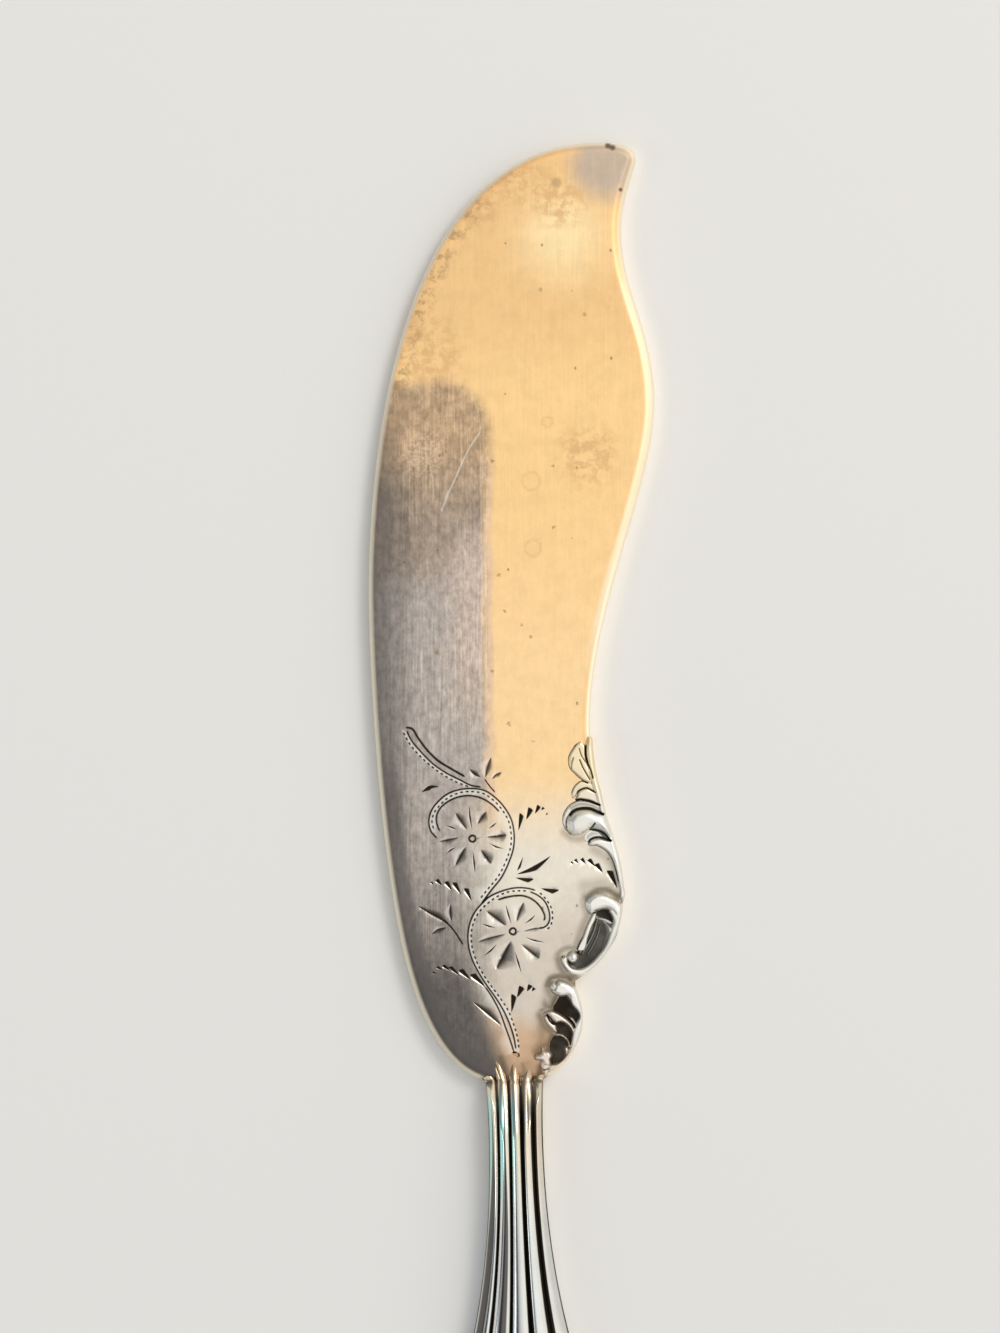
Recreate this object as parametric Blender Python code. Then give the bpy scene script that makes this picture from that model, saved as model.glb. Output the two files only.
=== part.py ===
"""Master butter knife lying on its back: front face up, tip towards +Y, back on z = 0.

The blade is a plate drawn out into a tang. The handle is hollow: a reeded front shell and a shallow
back shell meet in the plane of the blade's face, with cement around the tang between them. Three cast
scrolls are soldered along the spine. The sizes are in metres.
"""

import math

import bmesh
import bpy

MM = 0.001

# Blade: stations run up from the heel, drops down from the tip, reaches out from the handle's axis
BLADE_LENGTH = 84.2 * MM
BLADE_THICKNESS = 1.8 * MM
EDGE_ROUND = 0.4 * MM
HEEL_HALF_WIDTH = 2.6 * MM
FLANK_STATION = 9.3 * MM
FLANK_REACH = 9.1 * MM
BELLY_STATION = 42.3 * MM
BELLY_REACH = 12.0 * MM
TIP_TOP_REACH = 9.4 * MM
TIP_CORNER_DROP = 1.6 * MM
TIP_CORNER_REACH = 13.1 * MM
HOLLOW_DROP = 8.2 * MM
HOLLOW_REACH = 11.6 * MM
CROWN_DROP = 23.3 * MM
CROWN_REACH = 14.2 * MM
WAIST_STATION = 31.2 * MM
WAIST_REACH = 7.6 * MM
BULGE_STATION = 16.4 * MM
BULGE_REACH = 10.2 * MM
NOTCH_STATION = 8.75 * MM
NOTCH_REACH = 5.7 * MM
HEEL_BULGE_STATION = 5.3 * MM
HEEL_BULGE_REACH = 6.2 * MM

# Tang, inside the handle
TANG_LENGTH = 60.0 * MM
TANG_ROOT = 1.5 * MM
TANG_FACE_STEP = 0.1 * MM
CEMENT_BESIDE_TANG = 0.75 * MM
CEMENT_UNDER_TANG = 0.25 * MM

# Handle: stations run down from the heel
HANDLE_LENGTH = 102.0 * MM
SHELL_WALL = 0.45 * MM
NECK_STATION = 5.0 * MM
NECK_HALF_WIDTH = 2.43 * MM
FLARE_STATION = 22.3 * MM
FLARE_HALF_WIDTH = 4.18 * MM
FLARE_SLOPE = 0.22
GRIP_STATION = 74.0 * MM
GRIP_HALF_WIDTH = 8.6 * MM
BUTT_HALF_WIDTH = 2.5 * MM
BUTT_ROUND = 9.0 * MM
NECK_DOME = 2.0 * MM
GRIP_DOME = 2.9 * MM
NOSE_LENGTH = 2.5 * MM
NOSE_RISE = 5.0 * MM
REED_COUNT = 5
REED_DEPTH = 0.35 * MM
REED_TIP_REACH = 1.75 * MM
REED_TIP_LEAN = 0.9 * MM
REED_TIP_SPREAD = 0.7
DOME_FULLNESS = 5.0
TROUGH_FULLNESS = 3.5

# Fits
SOLDER_GAP = 0.05 * MM
CEMENT_GAP = 0.05 * MM

# Fineness of the facets
CURVE_STEPS = 10
REED_STEPS = 4
BACK_STEPS = 12
ROWS = 24
STRAND_SIDES = 8
STRAND_STEPS = 3
STRAND_STEEPNESS = 1.3
END_RING_REACH = 0.7
END_RING_SIZE = 0.65
END_POINT_REACH = 0.45

# Heights that the pieces share
FACE_Z = BLADE_THICKNESS
SEAM_Z = FACE_Z + SOLDER_GAP
TANG_BACK_Z = SHELL_WALL + CEMENT_GAP + CEMENT_UNDER_TANG
TANG_FACE_Z = FACE_Z - TANG_FACE_STEP
TANG_HALF_WIDTH = NECK_HALF_WIDTH - SHELL_WALL - CEMENT_BESIDE_TANG

# Scrolls, as strands of (along, inset, radius) in shares of the run of spine that each one fills:
# along goes down the run, inset goes in from the spine's edge
LEAF_STRANDS = {
    "rim": [(0.07, 0.018, 0.012), (0.36, 0.024, 0.02), (0.7, 0.027, 0.024), (0.94, 0.02, 0.012)],
    "leaf": [(0.1, 0.085, 0.02), (0.17, 0.125, 0.05), (0.26, 0.105, 0.045), (0.34, 0.045, 0.025)],
    "curl": [(0.38, 0.17, 0.015), (0.33, 0.12, 0.03), (0.33, 0.06, 0.03), (0.39, 0.03, 0.025)],
    "volute": [(0.555, 0.2, 0.058), (0.555, 0.13, 0.05), (0.53, 0.04, 0.03)],
    "fin": [(0.71, 0.17, 0.012), (0.69, 0.11, 0.03), (0.78, 0.035, 0.024)],
}
C_SCROLL_STRANDS = {
    "lobe": [(0.1, 0.37, 0.085), (0.07, 0.22, 0.1), (0.12, 0.1, 0.08)],
    "rim": [(0.1, 0.085, 0.075), (0.45, 0.085, 0.07), (0.75, 0.105, 0.065), (0.85, 0.17, 0.065),
            (0.84, 0.3, 0.06), (0.74, 0.44, 0.055), (0.66, 0.44, 0.06), (0.68, 0.36, 0.065)],
    "bar": [(0.16, 0.34, 0.035), (0.4, 0.38, 0.035), (0.66, 0.38, 0.035)],
}
HEEL_SCROLL_STRANDS = {
    "lobe": [(0.1, 0.23, 0.07), (0.1, 0.13, 0.07), (0.17, 0.075, 0.06)],
    "rim": [(0.14, 0.07, 0.055), (0.42, 0.065, 0.055), (0.7, 0.085, 0.05), (0.83, 0.13, 0.05),
            (0.85, 0.24, 0.05), (0.77, 0.3, 0.055)],
    "middle": [(0.34, 0.35, 0.035), (0.37, 0.26, 0.065), (0.5, 0.1, 0.06)],
    "low": [(0.57, 0.25, 0.035), (0.61, 0.18, 0.055), (0.69, 0.1, 0.05)],
}


def mix(a, b, share):
    return a + (b - a) * share


def smooth(share):
    share = min(max(share, 0.0), 1.0)
    return share * share * (3 - 2 * share)


def bezier(start, end):
    """Points from one outline node to the next, without the last one."""
    (x0, y0, _, heading0, _, pull0), (x1, y1, heading1, _, pull1, _) = start, end
    chord = math.hypot(x1 - x0, y1 - y0)
    ax = x0 + math.cos(math.radians(heading0)) * pull0 * chord
    ay = y0 + math.sin(math.radians(heading0)) * pull0 * chord
    bx = x1 - math.cos(math.radians(heading1)) * pull1 * chord
    by = y1 - math.sin(math.radians(heading1)) * pull1 * chord
    points = []
    for step in range(CURVE_STEPS):
        t = step / CURVE_STEPS
        u = 1 - t
        shares = (u**3, 3 * u * u * t, 3 * u * t * t, t**3)
        x = sum(share * value for share, value in zip(shares, (x0, ax, bx, x1)))
        y = sum(share * value for share, value in zip(shares, (y0, ay, by, y1)))
        points.append((x, y))
    return points


# Outline nodes: x, y, heading in and out in degrees, pull of the handle before and after it
HEEL_LEFT = (-HEEL_HALF_WIDTH, 0.0, 180, 165, 0.0, 0.17)
FLANK = (-FLANK_REACH, FLANK_STATION, 105, 105, 0.62, 0.26)
BELLY = (-BELLY_REACH, BELLY_STATION, 90, 90, 0.29, 0.2)
TIP_TOP = (TIP_TOP_REACH, BLADE_LENGTH, 0, 0, 0.41, 0.43)
TIP_CORNER = (TIP_CORNER_REACH, BLADE_LENGTH - TIP_CORNER_DROP, -90, -90, 0.34, 0.08)
HOLLOW = (HOLLOW_REACH, BLADE_LENGTH - HOLLOW_DROP, -90, -90, 0.44, 0.37)
CROWN = (CROWN_REACH, BLADE_LENGTH - CROWN_DROP, -90, -90, 0.44, 0.25)
WAIST = (WAIST_REACH, WAIST_STATION, -90, -90, 0.35, 0.44)
BULGE = (BULGE_REACH, BULGE_STATION, -90, -90, 0.32, 0.49)
NOTCH = (NOTCH_REACH, NOTCH_STATION, -148, -90, 0.2, 0.54)
HEEL_BULGE = (HEEL_BULGE_REACH, HEEL_BULGE_STATION, -90, -90, 0.34, 0.49)
HEEL_RIGHT = (HEEL_HALF_WIDTH, 0.0, -155, 180, 0.17, 0.0)
OUTLINE = (HEEL_LEFT, FLANK, BELLY, TIP_TOP, TIP_CORNER, HOLLOW, CROWN, WAIST, BULGE, NOTCH,
           HEEL_BULGE, HEEL_RIGHT)


def outline_points(nodes):
    points = []
    for start, end in zip(nodes, nodes[1:]):
        points += bezier(start, end)
    return points + [nodes[-1][:2]]


def handle_half_width(station):
    """Half width of the handle in plan, and of the reeds' tips where the station is on the blade."""
    neck = (NECK_STATION, NECK_HALF_WIDTH, 0.0)
    flare = (FLARE_STATION, FLARE_HALF_WIDTH, FLARE_SLOPE)
    grip = (GRIP_STATION, GRIP_HALF_WIDTH, 0.0)
    if station < NECK_STATION:
        share = (NECK_STATION - station) / NECK_STATION
        spread = REED_TIP_SPREAD * max(-station, 0.0)
        return mix(NECK_HALF_WIDTH, HEEL_HALF_WIDTH, share * share) + spread
    if station < FLARE_STATION:
        return hermite(station, neck, flare)
    if station < GRIP_STATION:
        return hermite(station, flare, grip)
    share = min((station - GRIP_STATION) / (HANDLE_LENGTH - GRIP_STATION), 1.0)
    return mix(BUTT_HALF_WIDTH, GRIP_HALF_WIDTH, math.sqrt(1 - share * share))


def hermite(station, start, end):
    """A smooth curve between two (station, half width, slope) points."""
    span = end[0] - start[0]
    t = (station - start[0]) / span
    lean = t * (1 - t) * ((1 - t) * start[2] - t * end[2])
    return mix(start[1], end[1], smooth(t)) + span * lean


def butt_close(station, end):
    """Height left at a station: 1 along the handle, rounding down to 0 at the butt."""
    share = min(max((station - end + BUTT_ROUND) / BUTT_ROUND, 0.0), 1.0)
    return math.sqrt(1 - share * share)


def nose_rise(behind_edge):
    return math.sin(math.pi / 2 * min(max(behind_edge, 0.0) / NOSE_RISE, 1.0))


def dome(across):
    return math.sqrt(1 - abs(across) ** DOME_FULLNESS)


def trough(across):
    return (1 - abs(across) ** TROUGH_FULLNESS) ** (1 / TROUGH_FULLNESS)


def dome_height(station):
    return mix(NECK_DOME, GRIP_DOME, smooth((station - NECK_STATION) / (GRIP_STATION - NECK_STATION)))


def reed_valley(across):
    """1 in the grooves between the reeds and 0 on their crests."""
    return math.sin(math.pi / 2 * REED_COUNT * across) ** 2


def row_stations(start, end):
    """Rows along the handle, closer together towards both ends."""
    return [mix(start, end, (1 - math.cos(math.pi * row / (ROWS - 1))) / 2) for row in range(ROWS)]


def columns(steps):
    return [2 * column / steps - 1 for column in range(steps + 1)]


def reed_edge(across):
    """Station where the front shell starts: the inner reeds run out to points on the blade."""
    reed = round((across + 1) * REED_COUNT / 2 - 0.5)
    if not 0 < reed < REED_COUNT - 1:
        return SOLDER_GAP
    crest = (2 * reed + 1) / REED_COUNT - 1
    reach = REED_TIP_REACH - REED_TIP_LEAN * crest
    towards_crest = 1 - abs(across - crest) * REED_COUNT
    return mix(SOLDER_GAP, -reach, max(towards_crest, 0.0))


def front_outer():
    grid = []
    for row in row_stations(0.0, HANDLE_LENGTH):
        points = []
        for across in columns(REED_COUNT * REED_STEPS):
            edge = reed_edge(across)
            station = mix(edge, row, min(row / NOSE_RISE, 1.0))
            height = dome_height(station) - REED_DEPTH * reed_valley(across)
            height *= dome(across) * nose_rise(station - edge) * butt_close(station, HANDLE_LENGTH)
            points.append((across * handle_half_width(station), -station, SEAM_Z + height))
        grid.append(points)
    return grid


def front_inner(steps, shrink):
    """The hollow's upper surface, or the cement's, which is smaller all round by shrink."""
    grid = []
    start = NOSE_LENGTH + shrink
    end = HANDLE_LENGTH - SHELL_WALL - shrink
    for station in row_stations(start, end):
        points = []
        for across in columns(steps):
            half_width = handle_half_width(station) - SHELL_WALL - shrink
            height = dome_height(station) - REED_DEPTH - SHELL_WALL - shrink
            height *= dome(across) * nose_rise(station - start) * butt_close(station, end)
            points.append((across * half_width, -station, SEAM_Z + height))
        grid.append(points)
    return grid


def back_surface(start, wall):
    """The back shell's outer surface, or, with a wall, the inner one or the cement's."""
    grid = []
    end = HANDLE_LENGTH - wall
    for station in row_stations(start, end):
        points = []
        for across in columns(BACK_STEPS):
            half_width = handle_half_width(station) - wall
            depth = (FACE_Z - wall) * trough(across) * butt_close(station, end)
            points.append((across * half_width, -station, FACE_Z - depth))
        grid.append(points)
    return grid


def add_grid(bm, grid):
    """The grid's vertices and its faces, in rows."""
    verts = [[bm.verts.new(point) for point in points] for points in grid]
    for upper, lower in zip(verts, verts[1:]):
        for left in range(len(upper) - 1):
            bm.faces.new((upper[left], upper[left + 1], lower[left + 1], lower[left]))
    return verts


def rim_loop(verts, closed):
    """The vertices round a grid's edge, or without its first row if the grid is open there."""
    right = [row[-1] for row in verts]
    left = [row[0] for row in verts]
    butt = verts[-1][-2:0:-1]
    loop = right + butt + left[::-1]
    return loop + verts[0][1:-1] + [loop[0]] if closed else loop


def bridge(bm, outer, inner):
    for (a, b), (c, d) in zip(zip(outer, outer[1:]), zip(inner, inner[1:])):
        bm.faces.new((a, b, d, c))


def new_object(name, bm, material, parent):
    bmesh.ops.remove_doubles(bm, verts=bm.verts, dist=1e-7)
    bmesh.ops.recalc_face_normals(bm, faces=bm.faces)
    if bm.calc_volume(signed=True) < 0:
        bmesh.ops.reverse_faces(bm, faces=bm.faces)
    mesh = bpy.data.meshes.new(name)
    bm.to_mesh(mesh)
    bm.free()
    mesh.materials.append(material)
    mesh.shade_smooth()
    mesh.set_sharp_from_angle(angle=math.radians(35))
    piece = bpy.data.objects.new(name, mesh)
    piece.parent = parent
    bpy.context.collection.objects.link(piece)
    return piece


def new_box(bm, low, high):
    corners = bmesh.ops.create_cube(bm, size=1)["verts"]
    for corner in corners:
        corner.co = [a if value < 0 else b for value, a, b in zip(corner.co, low, high)]


def new_cutter(name, low, high, parent):
    bm = bmesh.new()
    new_box(bm, low, high)
    mesh = bpy.data.meshes.new(name)
    bm.to_mesh(mesh)
    bm.free()
    cutter = bpy.data.objects.new(name, mesh)
    cutter.parent = parent
    cutter.hide_render = True
    cutter.display_type = "WIRE"
    bpy.context.collection.objects.link(cutter)
    return cutter


def add_boolean(piece, other, operation, self_overlaps=False):
    boolean = piece.modifiers.new(operation.lower(), "BOOLEAN")
    boolean.operation = operation
    boolean.object = other
    boolean.solver = "EXACT"
    boolean.use_self = self_overlaps


def new_material(name, colour, metallic, roughness):
    material = bpy.data.materials.new(name)
    material.use_nodes = True
    shader = material.node_tree.nodes["Principled BSDF"]
    shader.inputs["Base Color"].default_value = (*colour, 1)
    shader.inputs["Metallic"].default_value = metallic
    shader.inputs["Roughness"].default_value = roughness
    return material


def blade(material, parent):
    bm = bmesh.new()
    outline = outline_points(OUTLINE)
    back = bm.faces.new([bm.verts.new((x, y, 0)) for x, y in outline])
    extruded = bmesh.ops.extrude_face_region(bm, geom=[back], use_keep_orig=True)["geom"]
    face_verts = [item for item in extruded if isinstance(item, bmesh.types.BMVert)]
    bmesh.ops.translate(bm, verts=face_verts, vec=(0, 0, FACE_Z))
    face = set(face_verts)
    rounded = [
        edge for edge in bm.edges
        if all(vert in face for vert in edge.verts) and max(vert.co.y for vert in edge.verts) > 0
    ]
    bmesh.ops.bevel(
        bm, geom=rounded, offset=EDGE_ROUND, segments=2, profile=0.5, affect="EDGES", clamp_overlap=True
    )
    piece = new_object("blade", bm, material, parent)
    low = (-TANG_HALF_WIDTH, -TANG_LENGTH, TANG_BACK_Z)
    high = (TANG_HALF_WIDTH, TANG_ROOT, TANG_FACE_Z)
    add_boolean(piece, new_cutter("tang_blank", low, high, parent), "UNION")


def handle_front_shell(material, parent):
    bm = bmesh.new()
    outer = add_grid(bm, front_outer())
    inner = add_grid(bm, front_inner(REED_COUNT * REED_STEPS, 0.0))
    bridge(bm, rim_loop(outer, True), rim_loop(inner, True))
    new_object("handle_front_shell", bm, material, parent)


def handle_back_shell(material, parent):
    bm = bmesh.new()
    outer = add_grid(bm, back_surface(SOLDER_GAP, 0.0))
    inner = add_grid(bm, back_surface(SOLDER_GAP, SHELL_WALL))
    bridge(bm, rim_loop(outer, False), rim_loop(inner, False))
    bridge(bm, outer[0], inner[0])
    new_object("handle_back_shell", bm, material, parent)


def handle_filling(material, parent):
    bm = bmesh.new()
    upper = add_grid(bm, front_inner(BACK_STEPS, CEMENT_GAP))
    lower = add_grid(bm, back_surface(NOSE_LENGTH + CEMENT_GAP, SHELL_WALL + CEMENT_GAP))
    bridge(bm, rim_loop(upper, True), rim_loop(lower, False) + lower[0][1:])
    piece = new_object("handle_filling", bm, material, parent)
    fit = CEMENT_GAP
    low = (-TANG_HALF_WIDTH - fit, -TANG_LENGTH - fit, TANG_BACK_Z - fit)
    high = (TANG_HALF_WIDTH + fit, 0.0, TANG_FACE_Z + fit)
    add_boolean(piece, new_cutter("tang_slot", low, high, parent), "DIFFERENCE")


def spine_x(run, station):
    """The spine's edge at a station of a run that goes down from its first point."""
    for (x0, y0), (x1, y1) in zip(run, run[1:]):
        if y1 <= station <= y0:
            return mix(x0, x1, (y0 - station) / (y0 - y1))
    return run[-1][0]


def through(t, a, b, c, d):
    """A value between b and c on the smooth curve through a, b, c and d."""
    return b + t * (c - a) / 2 + t * t * (a - 2.5 * b + 2 * c - d / 2) + t**3 * (1.5 * (b - c) + (d - a) / 2)


def strand_path(run, strand):
    """A strand's own points, in metres, with a smooth curve through them."""
    length = run[0][1] - run[-1][1]
    knots = []
    for along, inset, radius in strand:
        station = run[0][1] - along * length
        knots.append((spine_x(run, station) - inset * length, station, radius * length))
    knots = [knots[0]] + knots + [knots[-1]]
    path = []
    for p0, p1, p2, p3 in zip(knots, knots[1:], knots[2:], knots[3:]):
        for step in range(STRAND_STEPS):
            t = step / STRAND_STEPS
            path.append([through(t, *values) for values in zip(p0, p1, p2, p3)])
    path.append(knots[-1])
    return [round_end(path[1], path[0])] + path + [round_end(path[-2], path[-1])]


def round_end(before, last):
    """A smaller point past the last one, so that the strand's end is round."""
    (x0, y0, _), (x1, y1, radius) = before, last
    share = END_RING_REACH * radius / math.hypot(x1 - x0, y1 - y0)
    return [x1 + (x1 - x0) * share, y1 + (y1 - y0) * share, radius * END_RING_SIZE]


def add_strand(bm, path):
    """A round strand centred on the blade's face, closed by a point at each end."""
    rings = []
    for index, (x, y, radius) in enumerate(path):
        x0, y0, _ = path[max(index - 1, 0)]
        x1, y1, _ = path[min(index + 1, len(path) - 1)]
        length = math.hypot(x1 - x0, y1 - y0)
        along = ((x1 - x0) / length, (y1 - y0) / length)
        ring = []
        for side in range(STRAND_SIDES):
            turn = 2 * math.pi * (side + 0.5) / STRAND_SIDES
            out = radius * math.cos(turn)
            rise = radius * math.sin(turn) * STRAND_STEEPNESS
            ring.append(bm.verts.new((x - along[1] * out, y + along[0] * out, SEAM_Z + rise)))
        rings.append((ring, along))
    for (ring, _), (following, _) in zip(rings, rings[1:]):
        bridge(bm, ring + ring[:1], following + following[:1])
    for (ring, along), (x, y, radius), way in ((rings[0], path[0], -1), (rings[-1], path[-1], 1)):
        reach = way * radius * END_POINT_REACH
        point = bm.verts.new((x + along[0] * reach, y + along[1] * reach, SEAM_Z))
        for a, b in zip(ring, ring[1:] + ring[:1]):
            bm.faces.new((a, b, point))


def scroll_mount(name, run_nodes, strands, material, parent):
    run = outline_points(run_nodes)
    bm = bmesh.new()
    for strand in strands.values():
        add_strand(bm, strand_path(run, strand))
    piece = new_object(name, bm, material, parent)
    margin = run[0][1] - run[-1][1]
    low = (run[-1][0] - margin, run[-1][1] - margin, SEAM_Z - margin)
    high = (run[0][0] + margin, run[0][1] + margin, SEAM_Z)
    add_boolean(piece, new_cutter(name + "_seat", low, high, parent), "DIFFERENCE", self_overlaps=True)


def main():
    for old in list(bpy.data.objects):
        bpy.data.objects.remove(old, do_unlink=True)
    silver = new_material("silver_plate", (0.86, 0.77, 0.63), 1.0, 0.3)
    blade_silver = new_material("blade_plate", (0.9, 0.74, 0.52), 1.0, 0.35)
    cast_silver = new_material("cast_mounts", (0.8, 0.77, 0.72), 1.0, 0.28)
    cement = new_material("handle_cement", (0.42, 0.36, 0.3), 0.0, 0.9)

    knife = bpy.data.objects.new("knife", None)
    bpy.context.collection.objects.link(knife)
    across = [x for x, _ in outline_points(OUTLINE)]
    knife.location = (-(min(across) + max(across)) / 2, (HANDLE_LENGTH - BLADE_LENGTH) / 2, 0)

    blade(blade_silver, knife)
    handle_front_shell(silver, knife)
    handle_back_shell(silver, knife)
    handle_filling(cement, knife)
    scroll_mount("spine_leaf_mount", (WAIST, BULGE), LEAF_STRANDS, cast_silver, knife)
    scroll_mount("c_scroll_mount", (BULGE, NOTCH), C_SCROLL_STRANDS, cast_silver, knife)
    scroll_mount("heel_scroll_mount", (NOTCH, HEEL_BULGE, HEEL_RIGHT), HEEL_SCROLL_STRANDS, cast_silver, knife)


main()
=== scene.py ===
"""Looks of a silver-plated master butter knife: bright-cut blade, chased scrolls and reeded handle.

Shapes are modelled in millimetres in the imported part's own frame. What was read off the photograph is
kept in its pixels, and from_photo lays it on the blade's face.
"""

import math

import bmesh
import bpy
import numpy as np
from mathutils.geometry import delaunay_2d_cdt
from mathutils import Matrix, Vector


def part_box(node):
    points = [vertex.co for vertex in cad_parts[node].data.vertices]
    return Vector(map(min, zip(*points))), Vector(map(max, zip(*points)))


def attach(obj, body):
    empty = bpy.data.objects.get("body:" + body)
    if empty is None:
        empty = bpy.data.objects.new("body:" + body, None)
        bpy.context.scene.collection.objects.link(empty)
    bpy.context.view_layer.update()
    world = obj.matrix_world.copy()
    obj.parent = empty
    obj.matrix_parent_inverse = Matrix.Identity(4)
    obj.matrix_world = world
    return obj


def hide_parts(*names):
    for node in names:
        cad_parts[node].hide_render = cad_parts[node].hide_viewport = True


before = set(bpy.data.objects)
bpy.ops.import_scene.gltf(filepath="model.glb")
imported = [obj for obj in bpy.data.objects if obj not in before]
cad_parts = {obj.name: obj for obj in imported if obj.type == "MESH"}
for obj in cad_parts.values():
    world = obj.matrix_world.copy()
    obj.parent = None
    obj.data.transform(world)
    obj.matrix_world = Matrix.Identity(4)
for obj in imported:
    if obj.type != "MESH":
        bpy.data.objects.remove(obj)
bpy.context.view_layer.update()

MM = 0.001

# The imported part, in millimetres
back_low, back_high = (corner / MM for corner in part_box("handle_back_shell"))
front_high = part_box("handle_front_shell")[1] / MM
SOLDER_GAP = 0.05
AXIS_X = (back_low.x + back_high.x) / 2
HEEL_Y = back_high.y + SOLDER_GAP
FACE_Z = back_high.z
SEAM_Z = FACE_Z + SOLDER_GAP

# The photograph: the heel's middle, the size of a pixel on the blade's face, and the camera's roll
PHOTO_WIDTH = 1000
PHOTO_HEIGHT = 1333
HEEL_PX = (514.5, 1080.0)
PX = 0.09
ROLL = math.radians(1.5)

# Blade. The rim's round has the share of the outline's length, from heel by tip to heel, and its width there
RIM_STEP = math.radians(10)
RIM_ROUND = [
    (0.0, 0.3), (0.1, 0.4), (0.42, 0.45), (0.47, 0.6), (0.55, 0.95), (0.7, 0.9), (0.76, 0.4), (1, 0.3),
]
RIM_FALL = 0.7
RIM_CLEAR = 0.3
OUTLINE_CLEAR = 0.008
BACK_ROUND = 0.3
BACK_RINGS = 4
TANG_ROUND = 0.12
TANG_OVERLAP = 1.0
OUTLINE_STEP = 0.4
LATTICE = 1.1
FINE_LATTICE = 0.24
MERGE_REACH = 1e-4
CORNER_TURN = math.radians(30)
CRISP_ANGLE = math.radians(50)
INSET_REACH = 2.4
INSET_RINGS = (0.5, 0.8, 1.2, 1.7, 2.4)

# Bright-cut engraving: lines are V-shaped; petals, leaves and teeth have a dark facet and a bright one
# The facets' dark and bright colours are painted shade and a painted highlight
LINE_STEP = 0.22
LINE_SLOPE = 0.75
FACET_STEP = 0.12
FACET_SLOPE = 0.16
FACET_SWELL = 0.8
FACET_LINES = (0.3, 0.65)
FACET_SOFTNESS = 1.5
SOFT_BRIGHT = 0.35
SOFT_BOTTOM = 0.8
SOFT_PLATEAU = 1.6
CRISP_START = 0.84
CRISP_BRIGHT = 0.3
CRISP_PLATEAU = 2.6
BRIGHT_BOTTOM = 0.5
BRIGHT_PLATEAU = 2.0
CUT_END_FADE = 3.0
CUT_MIDDLE = 0.004
CUT_ROOM = 0.01
SCRATCH_SLOPE = 0.03
DASH_LENGTH = 0.36
DASH_PITCH = 0.5
DASH_SHAPE = [(0, 0), (0.25, 1), (0.75, 1), (1, 0)]
LINE_BOLDNESS = 1.6
LINE_WIDTH_PX = 2.4
DASH_WIDTH_PX = 2.2
RING_RADIUS_PX = 3.2
RING_WIDTH_PX = 3.0
RING_POINTS = 17

# The vine's lines and dashes
TENDRIL_BOLD = [
    (404.5, 727.5), (411.3, 728.6), (417.4, 737.3), (425.6, 748.6), (437.9, 760.8), (451.1, 769),
    (465.4, 777.1),
]
TENDRIL_LINE = [
    (406.2, 730.2), (411.3, 740.4), (420.5, 751.6), (432.8, 763.9), (446, 773), (460.3, 780.2),
    (470.5, 785.3), (481.7, 787.3),
]
TENDRIL_DASH = [
    (403.2, 732.2), (409.3, 743.5), (418.5, 754.7), (430.7, 765.9), (441.9, 774.1), (454.2, 781.2),
    (468.5, 786.8),
]
LOOP_LINE = [
    (437.3, 838.9), (430.7, 831.2), (428.7, 822), (430.7, 811.8), (437.9, 801.6), (448.1, 793.5),
    (460.3, 789.4), (472.6, 788.6), (483.8, 790.4), (495, 797.6), (505.2, 808.8), (511.3, 820),
    (513.9, 832.2), (513.4, 847.6), (509.3, 860.8), (500.1, 879.2), (491.8, 889.4), (481, 904),
]
LOOP_DASH = [
    (433.5, 829), (431.8, 822), (434, 813), (440.5, 804.5), (450, 796.5), (461, 792.4), (472.6, 791.6),
    (482.5, 793.4), (493, 800), (502.4, 810.4), (508.4, 821), (510.9, 832.2), (510.5, 847), (506.4, 859.6),
    (497.4, 877.4), (488.6, 888), (479, 900),
]
LOOP_INNER = [
    (439.9, 832.2), (436.8, 824.1), (436.3, 816.9), (438.9, 809.8), (446, 802.7), (456.2, 797.6),
    (469.5, 795.7), (480.7, 798.1), (491.9, 804.7), (499.6, 812.3),
]
STEM_LINE = [
    (536, 890.6), (528, 888.5), (520, 887.7), (514, 888), (507.1, 889.4), (498, 892.4), (488.8, 897),
    (483.7, 901.6), (475.5, 910.8), (470.4, 921), (467.9, 933.3), (468.4, 945.5), (471.4, 957.8),
    (477.6, 971), (486.7, 985.5), (496, 998.5), (504.6, 1013), (510.2, 1026), (513.9, 1038), (515.9, 1050),
]
STEM_DASH = [
    (526.4, 890.9), (516.3, 890.9), (508.2, 891.9), (498, 896), (489.8, 901.6), (479.5, 911.4),
    (473.8, 921.5), (471.2, 933.3), (471.6, 945), (474.4, 956), (480, 969), (488.6, 982.7), (498.4, 995.9),
    (507.8, 1010.2), (513.9, 1025.5), (517.8, 1039.8), (519, 1050),
]
STEM_TWIN = [
    (484.7, 986.3), (491.2, 995.9), (499.4, 1011.2), (505.5, 1027.6), (510.6, 1041.8), (513.9, 1052.5),
]
STEM_END = [(511.8, 1052), (515.6, 1054), (520, 1056.4)]
CURL_DASH = [
    (547, 929.5), (550.2, 926), (552.2, 920), (552.4, 914), (551, 907.5), (548.2, 902.5), (544.5, 897.8),
    (540.5, 893.6), (536.5, 890.8),
]
CURL_LINE = [
    (538, 928.2), (543.6, 927.4), (547.4, 924.6), (549.5, 920), (549.5, 914), (548, 908), (545, 902),
    (540, 897), (535, 894), (529, 891.5),
]
CURL_INNER = [
    (496.9, 900.1), (505, 897.6), (513.2, 896), (523.4, 896), (531.5, 899.1), (538.7, 905.2),
    (543.3, 912.3), (544.8, 917.4), (543.3, 921.5),
]
SPRIG_STEM = [(484.3, 778.7), (488.6, 785), (495.5, 793)]
SPRAY_STEM = [(442, 919.5), (446.9, 923.1), (454.1, 931.2), (460.2, 940.4), (463.3, 945.5)]

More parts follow.
